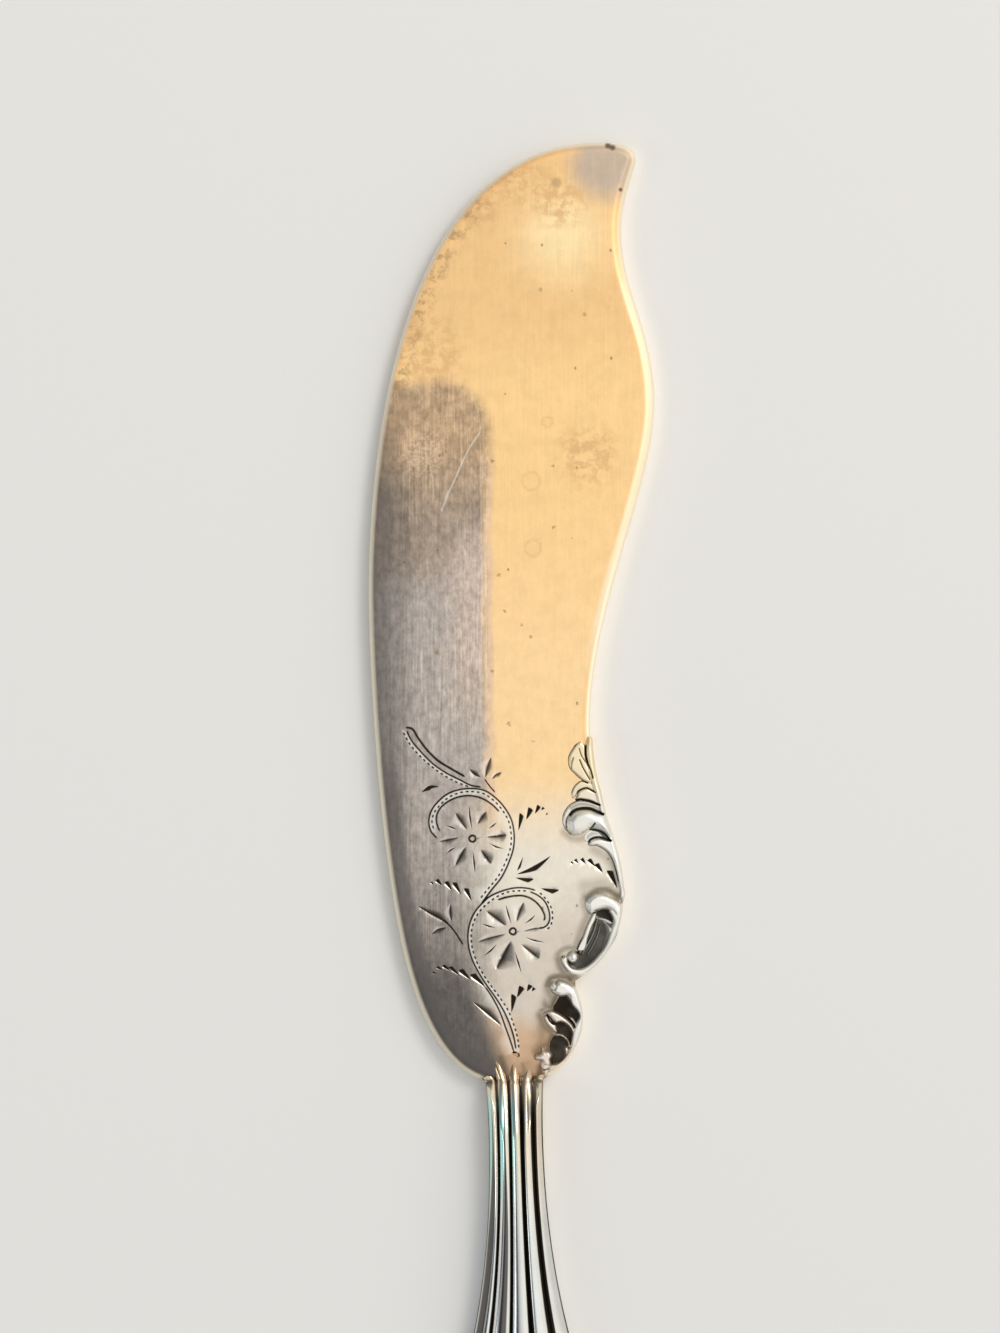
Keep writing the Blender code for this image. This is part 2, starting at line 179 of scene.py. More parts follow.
# Lines with their width in pixels, rows of dashes, and the centres of the flowers' rings
LINES = [
    (TENDRIL_BOLD, 3.2), (TENDRIL_LINE, LINE_WIDTH_PX), (LOOP_LINE, LINE_WIDTH_PX), (LOOP_INNER, 2.6),
    (STEM_LINE, LINE_WIDTH_PX), (STEM_TWIN, LINE_WIDTH_PX), (STEM_END, 5), (CURL_LINE, LINE_WIDTH_PX),
    (CURL_INNER, 2.8), (SPRIG_STEM, 2), (SPRAY_STEM, 2.4),
]
DASHES = [TENDRIL_DASH, LOOP_DASH, STEM_DASH, CURL_DASH]
RINGS = [(472.2, 838.7), (512.7, 931.4)]

# Facets: nodes of the crisp line, with the dark facet to its left, the widths of the dark and of the bright
# facet, and the share of the length where they are widest. Fills say how dark the dark facets are.
# The dark facets' darkness is painted shade, and the bright facets' pale colour a painted highlight
PETAL_FILL = 0.46
PETAL_SPREAD = 1.75
VEIN_FILL = 0.85
VEIN_DARK_PX = 2.0
VEIN_BRIGHT_PX = 2.4
VEIN_WIDEST = 0.5
LEAF_FILL = 0.95
SOFT_LEAF_FILL = 0.6
TOOTH_FILL = 1.0
TOOTH_WIDEST = 0.18
TOOTH_SPREAD = 1.3
PETALS = [
    ([(455, 812.5), (467.5, 831)], 5, 5.5, 0.35), ([(486.3, 811), (477, 824.5)], 5, 6.5, 0.45),
    ([(507, 834.5), (495, 836.4), (485, 837)], 6, 5, 0.3), ([(480, 849), (491, 864.5)], 7, 7, 0.6),
    ([(466, 846), (454.5, 867)], 5.5, 6, 0.5), ([(459.5, 837), (449, 839.6), (438, 841.5)], 4.4, 3, 0.6),
    ([(485.5, 910.5), (507, 926.5)], 8, 7, 0.45), ([(523.9, 901.5), (518.4, 915), (516, 923)], 4.5, 6, 0.4),
    ([(543, 927.6), (532, 929), (522, 931.5)], 2.6, 2.4, 0.4), ([(520, 943.5), (539.5, 959)], 6.5, 6, 0.75),
    ([(511.5, 939.5), (495.5, 970.5)], 12, 8, 0.62),
    ([(507, 933.5), (490, 938), (476.5, 942)], 5, 3.5, 0.62),
]
VEINS = [
    [(469, 804.5), (469.6, 818), (472.4, 831)], [(497, 822), (493, 825), (488.5, 828.6)],
    [(489, 843), (496, 847.3), (504, 848.8)], [(472.6, 851), (473.6, 862), (475, 874)],
    [(456, 847), (451, 849.4), (446, 854)], [(446, 826), (451, 827.6), (457, 830)],
    [(505.5, 904), (508, 915), (511.5, 925)], [(535.5, 914.5), (531, 918.6), (524.5, 923.5)],
    [(525, 937), (533, 940.5), (545, 942.5)], [(515, 951.5), (517, 960), (521.5, 974)],
    [(497, 943.5), (490, 950.6), (483, 956)], [(481, 923.5), (488, 926.5), (496, 928)],
]
SOFT_LEAVES = [
    ([(491.2, 756.5), (487, 769), (485, 778)], 6, 10, 0.5),
    ([(469, 768.8), (474, 774), (481, 777.6)], 6, 6, 0.5),
    ([(502, 772), (495, 775.4), (491.5, 779.5)], 5, 5, 0.4),
    ([(415.6, 905), (430, 913.6), (440, 919), (450, 925.6)], 8, 1, 0.6),
    ([(450.6, 903), (450, 912), (451.5, 922)], 4, 7, 0.5),
    ([(447.5, 927), (438, 929.5), (431, 934)], 6.5, 4, 0.55),
    ([(472, 1001.6), (486, 1012.6), (502.5, 1027)], 8.5, 2.4, 0.5),
]
LEAVES = [
    ([(439.5, 786.6), (430, 785.8), (421.2, 792)], 5, 2, 0.6),
    ([(551, 855.6), (534, 866.6), (516, 874.5)], 5.4, 5, 0.5), ([(534, 879), (515, 877.5)], 5, 2.5, 0.3),
    ([(523, 856.5), (516.8, 871)], 2.6, 2, 0.7), ([(559.4, 890), (540.6, 888.2)], 5.4, 2.5, 0.35),
]
TEETH = [
    ([(519.6, 812.6), (518.2, 831)], 4, 1.6), ([(528.6, 806.8), (526, 820)], 4.8, 1.6),
    ([(537.4, 804.4), (534.6, 814)], 4, 1.5), ([(542.6, 806.4), (541, 810.4)], 2.8, 1),
    ([(546.8, 812.4), (545.6, 815.2)], 2, 1), ([(606.4, 870.4), (617.4, 889)], 5, 1.6),
    ([(594, 864.6), (602.8, 873.2)], 4.4, 1.6), ([(586.8, 860.2), (595, 866.6)], 4, 1.5),
    ([(579.8, 859.4), (585.8, 864.2)], 3.4, 1.4), ([(573.6, 860.2), (578.2, 863.6)], 3, 1.2),
    ([(570, 862.2), (573.6, 865)], 2.2, 1), ([(463.6, 888.2), (471.6, 901.4)], 3.8, 2.8),
    ([(452, 882.6), (461, 895)], 3.8, 2.6), ([(444, 882), (452, 891)], 3.8, 2.4),
    ([(434.8, 880.6), (442.2, 886)], 3.6, 1.6), ([(429.8, 882), (433.6, 885.4)], 2.2, 1),
    ([(469.4, 974.8), (486, 988)], 4.6, 2.6), ([(458, 970.4), (471, 980.6)], 4.2, 2.4),
    ([(448, 967.4), (460, 976)], 3.2, 2.2), ([(441.4, 966), (452, 972)], 2.8, 1.6),
    ([(436, 968), (443, 970.4)], 2.6, 1), ([(431.8, 973.2), (436.8, 973.8)], 2, 0.8),
    ([(511.4, 993.6), (511.2, 1013)], 4.8, 1.2), ([(519.6, 985.2), (516.8, 997.8)], 5.2, 1.2),
    ([(528.6, 983.8), (526.6, 991.6)], 4.6, 1.2), ([(533, 986.8), (531.6, 991.6)], 3.4, 1),
]

# Pale bands between the vine's lines: nodes, reach in pixels, and the side of the nodes that they keep to,
# with 0 for both
BANDS = [
    (TENDRIL_DASH, 3.2, 1), (LOOP_DASH, 3.4, 0), (STEM_DASH, 3.2, -1), (CURL_DASH, 3.2, 1),
    (STEM_TWIN, 3.0, 0),
]
BAND_SHARE = 0.42
BAND_MIDDLE = 0.02

# Scratches: nodes, width in pixels, and how bright their painted highlight is
SCRATCHES = [
    ([(481, 431), (470, 447), (455, 479), (448, 494)], 2.2, 0.5),
    ([(449, 490), (445, 502), (441, 512)], 3.4, 0.4), ([(470, 390), (478, 412), (481, 432)], 1.2, 0.25),
    ([(482, 452), (483, 480)], 1.4, 0.35), ([(485, 464), (485, 478)], 1.2, 0.35),
    ([(447, 469), (446, 478)], 1.2, 0.35), ([(424, 446), (431, 470), (434, 500)], 0.8, 0.4),
    ([(458, 516), (457, 532)], 1.2, 0.3), ([(508, 726), (511, 722)], 0.8, 0.4),
    ([(530, 610), (533, 650)], 0.7, 0.4),
]

# Scrolls. Pads are closed outlines with their height over the blade's face in millimetres and the width of
# their rounded edge in pixels; slopes are the same with a soft edge. Hollows are closed outlines with the
# height of their floor, how dark it has gone, and the pixels over which the dark fades in. Ridges are nodes
# of x, y, half width and height. Grooves are nodes with half width, depth and how dark they have gone. Heights
# below zero lie beside a scroll.
SCROLL_GRID = 0.03
SCROLL_STEP = 0.15
SCROLL_MARGIN = 0.7
SCROLL_TRIM = -0.5
BESIDE = -1.0
NEARLY_BESIDE = -0.95
SCROLL_BLEND = 0.06
SCROLL_SEAT = 0.06
PAD_FALL = 4.0
ROD_ROUNDNESS = 2.3
HOLLOW_WALL = 0.12
HOLLOW_BOWL = 0.02
HOLLOW_REACH = 9.0
RIDGE_STAIN = 0.45
GROOVE_FLOOR = 0.03
CORNER_STAIN = 0.5
CORNER_DEPTH = 0.3
CORNER_BLUR = 5
SCROLLS_TOP = 33.0
SCROLLS_LEFT = 3.0
LEAF_SCROLL = {
    "pads": {
        "rim": ([(588, 736), (591, 737), (592.9, 747.5), (595.9, 772), (600.8, 791), (606.9, 817.6),
                 (613.9, 838.6), (620, 861), (623.6, 884), (624.3, 898), (622.6, 904), (620.6, 898),
                 (619.2, 888), (616.6, 876), (614, 866), (611, 856), (608.5, 846), (606.5, 838), (603, 826),
                 (600, 814), (597, 803), (593, 790), (590, 778), (587, 764), (585.4, 756),
                 (585.4, 746)], 0.5, 4.0),
        "leaf": ([(581, 741), (576.4, 743.5), (571.5, 750), (568.4, 756), (568, 763), (570, 769),
                  (574, 773.4), (579, 778), (583, 781), (590, 783.6), (595, 783), (592.5, 775), (588, 764),
                  (586, 756), (585.6, 746)], 0.24, 3.0),
        "crescent": ([(571, 793), (573.5, 787), (577.5, 782.6), (581, 780.6), (587, 782), (595, 785),
                      (599, 794), (591, 790), (587, 788), (582, 789), (578, 791.6), (575.5, 796.5),
                      (573, 798.5)], 0.26, 2.0),
        "petal": ([(575, 800), (577, 795), (578, 791.6), (582, 789), (587, 788), (591, 789.8), (598, 793.5),
                   (602, 804), (599, 804.8), (590, 801), (584, 799.8), (579, 799.4)], 0.32, 2.6),
        "wrap": ([(570, 834), (565.5, 829.5), (562.8, 824), (562.4, 817), (565, 810), (569.5, 804.5),
                  (576, 801), (584, 800.5), (590, 801.6), (600, 805.5), (604, 814), (596, 811),
                  (590, 808.6), (584, 808.2), (577, 809.3), (573, 811.4), (570, 815), (567, 819),
                  (566.3, 824), (567.5, 830)], 0.3, 2.4),
        "ball": ([(566.3, 824), (567, 819), (569.5, 815.6), (573, 811.8), (578, 809.8), (584, 808.8),
                  (590, 809.3), (596, 811.6), (604, 814.5), (608, 822), (611, 832), (611.5, 839),
                  (606, 834.8), (602, 831.6), (596, 829.4), (591, 828.6), (585, 832.6), (580, 835),
                  (575, 835.6), (570, 834.6), (567.3, 830)], 0.9, 8.5),
        "fin": ([(587.5, 845), (589.5, 841), (594, 838.6), (600, 838), (606, 839.5), (613, 841), (616, 850),
                 (619, 862), (622, 880), (623, 898), (621, 898), (619.5, 888), (617, 876), (614.5, 866),
                 (611.5, 859), (607, 852.4), (601, 848), (595, 845.6), (590, 846)], 0.5, 3.0),
    },
    "slopes": {},
    "hollows": [
        ([(586.5, 833), (590.5, 830.4), (596, 830.6), (601.5, 832.6), (605.5, 835.6), (608.5, 839),
          (604, 838), (599.6, 836.6), (594.4, 836.8), (590.6, 838.6), (587.6, 842), (585, 840),
          (584.6, 836)], 0.05, 0.36, 3),
        ([(575, 798.5), (585, 798.6), (593, 800.6), (599, 804), (592, 804), (584, 802.2),
          (576, 801.8)], 0.03, 0.85, 0.4),
        ([(569.5, 815), (573, 811), (579, 807.6), (588, 807), (596, 809.4), (602.5, 813.5), (596, 813),
          (588, 810.6), (580, 810.8), (574, 813), (571, 816)], 0.03, 0.9, 0.4),
        ([(588.5, 829.6), (596, 828), (602, 830), (607, 835), (610, 840), (603, 837), (598, 832.6),
          (592, 831)], 0.03, 0.85, 0.4),
        ([(588, 842), (592, 837.6), (598, 836), (604, 836.6), (610, 840.4), (604, 840.4), (597, 839.2),
          (592, 840.6), (589, 843.6)], 0.03, 0.95, 0.4),
    ],
    "ridges": [],
    "grooves": [
        ([(576.4, 743.5), (571.5, 750), (568.4, 756), (568, 763), (570, 769), (574, 773.4), (579, 778),
          (583, 781), (587.5, 782.8)], 1.0, 0.1, 0.7),
        ([(573, 758), (571.3, 764), (571.4, 769)], 1.1, 0.07, 0.5),
        ([(579, 748.6), (581.5, 756), (585.6, 762)], 0.9, 0.08, 0.6),
        ([(579.6, 760), (583, 768), (587, 775), (589.5, 779)], 0.9, 0.1, 0.7),
        ([(585.6, 745), (586, 756), (588, 764), (590.5, 770), (592.6, 777.5)], 1.3, 0.14, 0.85),
        ([(571.5, 792), (573.5, 787), (577.5, 782.6), (581, 780.6), (584, 781.5)], 0.9, 0.09, 0.75),
        ([(574.5, 800), (577, 795), (578, 791.6), (582, 789), (587, 788), (591, 789.8),
          (595.4, 792.4)], 0.9, 0.1, 0.8),
        ([(574.7, 800.3), (579, 799.4), (584, 799.8), (590, 801), (596, 803.4),
          (599.4, 804.8)], 1.4, 0.16, 0.95),
        ([(576, 801), (569.5, 804.5), (565, 810), (562.4, 817), (562.8, 824), (565.5, 829.5),
          (570, 834)], 0.9, 0.08, 0.65),
        ([(570, 815), (573, 811.4), (577, 809.3), (584, 808.2), (590, 808.6), (596, 811),
          (603, 814)], 1.6, 0.3, 0.9),
        ([(571, 808), (578, 804.5), (586, 804), (594, 806), (599, 809)], 2.8, 0.0, 0.4),
        ([(590, 829), (592.5, 826), (594.6, 823)], 1.1, 0.2, 0.75),
        ([(590, 829.4), (596, 829.8), (602, 832), (606, 835.2), (609.6, 839.6)], 1.2, 0.25, 0.95),
        ([(588, 843.5), (590, 839.8), (594, 837.6), (600, 837.2), (606, 838.8),
          (610.6, 840.4)], 1.3, 0.3, 1.0),
        ([(584, 846), (589, 846.4), (595, 845.6), (601, 848), (607, 852.4), (611.5, 859), (615, 868),
          (618, 881)], 1.1, 0.15, 0.8),
    ],
}
C_SCROLL = {
    "pads": {
        "lobe": ([(584.6, 902), (586.4, 898.6), (590, 895), (594, 892.8), (600, 892), (606, 893),
                  (611, 895.3), (615.5, 898), (619.5, 901.5), (621.8, 906), (621.6, 914), (618, 919),
                  (613.5, 916), (609.5, 911.5), (606, 909.6), (602, 909.8), (598, 911), (594, 912.6),
                  (591.5, 914.6), (589, 914), (586.6, 911), (585.2, 907)], 1.0, 6.0),
        "rim": ([(620, 903), (621.8, 908), (621.5, 914), (618.6, 928), (613.3, 941), (605.3, 954.5),
                 (597.6, 963.6), (588, 971.5), (578.5, 975.2), (572, 974.3), (566.8, 971.2), (562.8, 966),
                 (560.6, 960), (560.2, 957.4), (563, 955.6), (566, 954.6), (568, 957.5), (568, 961),
                 (570, 964.5), (573.5, 967), (577, 967.6), (582, 966.8), (586, 964.6), (592, 960),
                 (598, 953.4), (602, 948.4), (606, 941), (609, 932), (611, 926), (612.6, 921.5),
                 (610.5, 915), (608, 911)], 0.92, 3.0),
        "ball": ([(566.6, 956.6), (567.5, 953.4), (569.8, 951.1), (573, 950.2), (576.2, 951.1),
                  (578.5, 953.4), (579.4, 956.6), (578.5, 959.8), (576.2, 962.1), (573, 963),
                  (569.8, 962.1), (567.5, 959.8)], 1.02, 6.2),
        "bar": ([(590.6, 916.4), (593, 913), (596.4, 912.6), (596, 917.5), (591.8, 927), (588.6, 936),
                 (582.4, 951), (577.4, 950.4), (583, 935), (586.2, 926)], 0.76, 1.8),
    },
    "slopes": {
        "face": ([(600.6, 919.6), (606, 920), (612, 922.5), (618, 926), (617, 934), (611.5, 945),
                  (604, 955), (596, 960), (599.6, 949), (602.6, 940), (604.2, 932.5),
                  (603, 926)], 0.72, 7.0),
    },
    "hollows": [
        ([(593, 914), (600, 917), (606, 919), (611, 922), (616, 928), (611, 941), (604, 953), (595, 962),
          (584, 969), (574, 969), (569, 965), (573, 961), (577, 957), (579, 951), (586, 936),
          (590, 927)], 0.06, 0.7, 3),
        ([(594.5, 910), (601, 907), (608, 908), (613, 914), (616.5, 926), (611, 923.4), (605.5, 920.6),
          (601, 919.8), (597, 919)], 0.05, 0.82, 2),
        ([(567, 959), (570, 955), (576, 952), (579.5, 950.5), (581, 953), (577, 962), (571, 965.5),
          (568, 962.5)], 0.05, 0.85, 0.4),
    ],
    "ridges": [
        [(597, 920, 1.2, 0.42), (594.6, 929, 1.4, 0.46), (591, 938, 1.4, 0.46), (585.5, 948, 1.3, 0.44),
         (582.4, 954, 1.1, 0.4)],
        [(600, 926, 1, 0.3), (598, 934, 1.2, 0.34), (593.6, 944, 1.2, 0.34), (587.6, 954.6, 1, 0.3)],
    ],
    "grooves": [
        ([(590, 915.6), (585.6, 926), (582.6, 935), (577, 949)], 0.8, 0.15, 0.8),
        ([(562, 956.4), (565, 952.4), (570, 949.8), (575, 950), (578.4, 953)], 1.0, 0.3, 0.9),
    ],
}
HEEL_SCROLL = {
    "pads": {
        "rim": ([(566, 981), (571, 984.2), (575, 987.6), (577, 991.5), (579.5, 999), (581.3, 1006),
                 (582.5, 1014), (582.6, 1020), (581.6, 1029), (579.5, 1037), (576.5, 1044), (572, 1051.5),
                 (567, 1058), (562, 1062.5), (557.5, 1066), (553, 1069), (549, 1071), (547.5, 1066),
                 (551, 1063.5), (555.5, 1062.4), (560, 1060.7), (563.5, 1057), (566, 1053), (568.5, 1048),
                 (570.2, 1043), (571.3, 1036), (572, 1031), (574, 1025), (576.5, 1020.5), (578.8, 1015),
                 (577, 1011), (574, 1007.5), (571, 1004), (569.5, 999.5), (566, 995.5),
                 (562, 990)], 0.9, 3.0),
        "lobe": ([(549.6, 985), (550.6, 982.2), (553, 981), (556, 981.2), (558, 979.4), (563, 979.6),
                  (567, 981.3), (571, 984.2), (575, 987.6), (577, 991.5), (576.5, 996), (573.5, 1000),
                  (569.5, 999.5), (566.5, 996.2), (563.5, 996.6), (560, 996.8), (556.5, 995.6),
                  (553, 993.8), (550.8, 991), (549.4, 988)], 1.0, 5.5),
        "leaf": ([(542.3, 1014), (545, 1011.5), (549, 1010), (552, 1009.5), (556, 1011), (560, 1013),
                  (564, 1015.6), (568, 1019), (571.5, 1022.5), (574.5, 1027), (576.5, 1033), (575, 1040),
                  (571.5, 1044), (571.2, 1038), (571.6, 1032.5), (569.8, 1028), (567, 1024.8),
                  (563.5, 1022.6), (560, 1021.8), (556, 1022.6), (553, 1020.5), (550, 1017),
                  (547, 1014.5)], 0.8, 3.2),
        "leaf_face": ([(543.3, 1016), (547, 1014.5), (550, 1018.5), (553, 1022.5), (556, 1024), (557, 1028),
                       (557.2, 1032.4), (553.5, 1031.5), (549, 1027.6), (545, 1022)], 0.46, 3.4),
        "cusp": ([(567.5, 1016), (571, 1016), (574.4, 1019), (576.6, 1023.5), (577, 1028), (575, 1025),
                  (572.4, 1021), (569.5, 1018)], 0.84, 1.6),
        "curl": ([(554.5, 1035.2), (557.5, 1032.8), (561, 1032.8), (564.8, 1034.8), (568, 1038),
                  (570, 1042.5), (570.6, 1047), (568.3, 1047), (567.4, 1043), (565.6, 1039.4),
                  (562.6, 1037), (559, 1035.6), (556.5, 1036.2)], 0.68, 1.8),
        "ball": ([(533.6, 1057), (535, 1054), (538.5, 1053), (540.5, 1051.5), (541.6, 1046.4),
                  (544.2, 1049), (549.5, 1049.6), (552, 1052.6), (552.6, 1055.8), (551, 1058.4),
                  (551.5, 1061.5), (551, 1064.5), (547, 1066), (542.5, 1065), (540.8, 1061), (538, 1060.5),
                  (535, 1059.8)], 0.96, 4.2),
        "foot": ([(542, 1056), (549, 1057), (551, 1063), (549.5, 1069.5), (547.5, 1073.5), (544.5, 1075.5),
                  (541.5, 1072), (540, 1066), (540.5, 1060)], 0.8, 4.0),
    },
    "slopes": {
        "rim_face": ([(561, 1061), (563, 1055), (562.4, 1047), (565, 1043.6), (569, 1045), (571, 1048),
                      (568, 1056), (564, 1061)], 0.62, 4.0),
        "lobe_face": ([(563, 994), (570, 993), (577, 1002), (581, 1013), (577.5, 1013), (572.5, 1006.5),
                       (568, 1001)], 0.6, 4.0),
    },
    "hollows": [
        ([(555, 1003), (560, 996), (566, 993), (573, 997), (578, 1008), (580.5, 1016), (577, 1024),
          (570, 1022), (562, 1018), (555, 1012), (552.6, 1008)], 0.03, 0.8, 0.4),
        ([(546, 1014.5), (556, 1013), (568, 1017), (576, 1022), (576, 1028), (570, 1026), (560, 1023),
          (553, 1023)], 0.03, 0.75, 0.4),
        ([(553, 1022), (558, 1019), (566, 1020), (573, 1026), (575, 1036), (573, 1046), (567, 1042),
          (561, 1035), (554, 1033)], 0.04, 0.76, 1),
        ([(553, 1036), (558, 1033.6), (565, 1036), (572, 1046), (568, 1055), (561, 1063), (553, 1065),
          (549, 1061), (551, 1054), (549, 1047), (550, 1041)], 0.03, 0.77, 0.4),
    ],
    "ridges": [],
    "grooves": [
        ([(556, 982), (556.4, 986), (554.5, 990)], 1.1, 0.12, 0.45),
        ([(547, 1014), (549, 1019), (552.5, 1023), (555.5, 1024)], 1.0, 0.2, 0.8),
        ([(569.5, 1019.4), (572.6, 1022), (574.8, 1026.5)], 0.9, 0.3, 0.8),
        ([(551, 1058.6), (551.6, 1061.8)], 0.9, 0.3, 0.8),
        ([(540, 1066), (543, 1069), (547.5, 1068)], 0.8, 0.15, 0.5),
    ],
}

# Painted shade, with old dirt, on the blade beside the raised work: nodes, reach in pixels, and strength
SHADE_STEP = 0.3
SHADES = [
    ([(586, 898), (596, 890.6), (608, 890), (618, 897)], 7, 0.85),
    ([(584, 886), (600, 884), (612, 886)], 12, 0.35), ([(584, 893), (583, 903), (586, 913)], 6, 0.4),
    ([(547, 986), (550, 979), (558, 976.4), (568, 978), (575, 984)], 6, 0.9),
    ([(557, 955), (562, 950), (571, 947.6), (577, 949)], 5, 0.6),
    ([(558, 958), (560, 967), (567, 975), (578, 979)], 7, 0.7),
    ([(588, 914), (582, 929), (575, 948)], 7, 0.5), ([(548, 990), (552, 998), (556, 1006)], 9, 0.6),
    ([(543.4, 999.6), (546, 1006), (550, 1009)], 2.2, 0.85),
    ([(541, 1010), (550, 1007), (558, 1009)], 4, 0.8),
    ([(540, 1015), (544, 1026), (552, 1034), (551, 1042), (543, 1046), (536, 1052)], 8, 0.75),
    ([(551, 1002), (546, 1020), (544, 1036)], 18, 0.35),
    ([(564, 832), (570, 837), (578, 839), (586, 837)], 7, 0.45),
    ([(594, 850), (605, 856), (613, 868), (616, 882)], 9, 0.4),
    ([(546, 1004), (551, 1008), (557, 1008)], 9, 0.65), ([(551, 1038), (549, 1043), (547, 1049)], 9, 0.7),
    ([(541, 1026), (542, 1040), (536, 1050)], 9, 0.5), ([(556, 997), (553, 1003), (552, 1008)], 7, 0.95),
    ([(553, 1036), (550, 1042), (549, 1048)], 7, 0.95), ([(501, 1058), (504, 1068), (505, 1079)], 6, 0.75),
    ([(523, 1064), (524, 1070), (524, 1079)], 4, 0.5), ([(540, 1066), (538, 1079)], 5, 0.8),
]

# Handle: stations run down from the heel, and up on the blade where they are negative
HANDLE_LENGTH = HEEL_Y - back_low.y
GRIP_HALF_WIDTH = (back_high.x - back_low.x) / 2
GRIP_DOME = front_high.z - SEAM_Z
HEEL_HALF_WIDTH = 2.6
NECK_STATION = 5.0
NECK_HALF_WIDTH = 2.43
NECK_DOME = 2.0
FLARE_STATION = 22.3
FLARE_HALF_WIDTH = 4.18
FLARE_SLOPE = 0.22
GRIP_STATION = 74.0
BUTT_HALF_WIDTH = 2.5
BUTT_ROUND = 9.0
SHELL_WALL = 0.45
DOME_FULLNESS = 2.5
TROUGH_FULLNESS = 3.5
BACK_COLUMNS = 44
MERGE_SHELL = 1e-4
TIP_ROWS_END = 6.0
TIP_ROW = 0.16
BODY_ROW = 0.9
BUTT_ROWS = 26
BUTT_ROWS_LENGTH = 8.0

# Reeds, numbered from left to right. Lit values are how far a reed is bright to either side of its ridge
REED_COLUMNS = 180
REED_PITCH = 0.427
REED_DEPTH_NECK = 0.5
REED_DEPTH_GRIP = 0.85
REED_ROUND = 0.95
REED_TIPS = {-2: 0.15, -1: 2.2, 0: 2.0, 1: 1.4, 2: 0.3}
NOSE_RISE = {-2: 2.0, -1: 8.0, 0: 7.5, 1: 7.0, 2: 2.0}
REED_LIT_NECK = {-2: (0.28, 0.34), -1: (0.37, 0.37), 0: (0.33, 0.34), 1: (0.24, 0.26), 2: (0.2, 0.21)}
REED_LIT_GRIP = {-2: (0.3, 0.38), -1: (0.41, 0.41), 0: (0.4, 0.37), 1: (0.32, 0.32), 2: (0.28, 0.28)}
REED_TIP_SPREAD = 0.7
TIP_DEEPER = 0.6
TIP_SINK = 0.3
TIP_SEAT = 0.02
TIP_ROOM = 2.4
INNER_GAP = 0.03
INNER_SHARE = 0.7

# The reeds' finish. Pairs say where something starts and where it is full: stations along the handle, shares
# of its half width across it, or shares of a reed's pitch to the right of its ridge.
# Valleys beyond each reed's lit width get painted shade with tarnish
NECK_VALLEY_SHARE = 0.6
VALLEY_SHADE_AND_TARNISH = 0.85
TIP_STAIN = 0.2
JOINT_STAIN = 0.65
JOINT_STATION = 0.1
JOINT_REACH = 0.4
JOINT_TIPS = (0.9, 0.4)
LIT_EDGE = 0.04
CREST_WIDTH = 0.2
CREST_EDGE = 0.09
TIP_DEPTH_RUN = (1.0, -2.0)
SEAM_RUN = (0.0, 0.3)
GRIP_RUN = (0.0, 22.0)
NECK_VALLEY_RUN = (0.3, 4.3)
VALLEY_RUN = (-0.9, 0.3)
TIP_STAIN_RUN = (0.5, -1.5)
# The crest's grey and the cool tint are painted reflections
CREST_RUN = (3.0, 15.0)
GREY_RUN = (1.0, 4.0)
COOL_RUN = (0.5, 2.5)
COOL_END_RUN = (13.0, 7.0)
LEFT_SIDE = (0.12, -0.18)
COOL_SIDE = (0.1, -0.02)


def mix(a, b, share):
    return a + (b - a) * share


def smooth(share):
    share = np.clip(share, 0.0, 1.0)
    return share * share * (3 - 2 * share)


def between(value, start, full):
    """Goes smoothly from 0 where the value is at its start to 1 where it is full."""
    return smooth((value - start) / (full - start))


def from_photo(nodes):
    """Photograph pixels, in the first two columns, as millimetres on the blade."""
    placed = np.array(nodes, float)
    right = (placed[:, 0] - HEEL_PX[0]) * PX
    up = (HEEL_PX[1] - placed[:, 1]) * PX
    placed[:, 0] = AXIS_X + math.cos(ROLL) * right + math.sin(ROLL) * up
    placed[:, 1] = HEEL_Y - math.sin(ROLL) * right + math.cos(ROLL) * up
    return placed


def smooth_path(nodes, step):
    """A smooth curve through nodes that start with x and y, with points about a step apart."""
    nodes = np.asarray(nodes, float)
    ends = np.vstack([2 * nodes[0] - nodes[1], nodes, 2 * nodes[-1] - nodes[-2]])
    spans = np.diff(ends, axis=0)
    runs = np.maximum(np.hypot(spans[:, 0], spans[:, 1]), 1e-6)
    stretches = []
    for i in range(1, len(nodes)):
        before, here, after = spans[i - 1:i + 2]
        a, b, c = runs[i - 1:i + 2]
        start = (before * b * b / a + here * a) / (a + b)
        end = (here * c + after * b * b / c) / (b + c)
        count = max(1, math.ceil(b / step))
        t = np.arange(count)[:, None] / count
        bend = (3 * here - 2 * start - end) * t**2 + (start + end - 2 * here) * t**3
        stretches.append(ends[i] + start * t + bend)
    return np.vstack([*stretches, nodes[-1:]])


def photo_path(nodes, step):
    return smooth_path(from_photo(nodes), step)


def runs_of(path):
    """How far along the path each of its points lies."""
    return np.concatenate([[0], np.cumsum(np.hypot(*np.diff(path[:, :2], axis=0).T))])


def run_shares(path):
    run = runs_of(path)
    return run / run[-1]


def left_normals(path):
    along = np.gradient(path[:, :2], axis=0)
    along /= np.maximum(np.hypot(along[:, 0], along[:, 1]), 1e-9)[:, None]
    return np.column_stack([-along[:, 1], along[:, 0]])


def nearest_on(path, points):
    """Each point's distance from the path, which side it is on, and its place along it in steps."""
    starts = path[:-1, :2]
    spans = np.diff(path[:, :2], axis=0)
    squares = np.maximum((spans**2).sum(axis=1), 1e-12)
    found = []
    for block in np.array_split(points, max(1, len(points) * len(spans) // 1_000_000)):
        away = block[:, None, :] - starts
        share = np.clip((away * spans).sum(axis=2) / squares, 0, 1)
        gap = away - share[..., None] * spans
        far = (gap**2).sum(axis=2)
        best = far.argmin(axis=1)
        row = np.arange(len(block))
        side = np.sign(spans[best, 0] * gap[row, best, 1] - spans[best, 1] * gap[row, best, 0])
        found.append(np.column_stack([np.sqrt(far[row, best]), side, best + share[row, best]]))
    return np.vstack(found).T


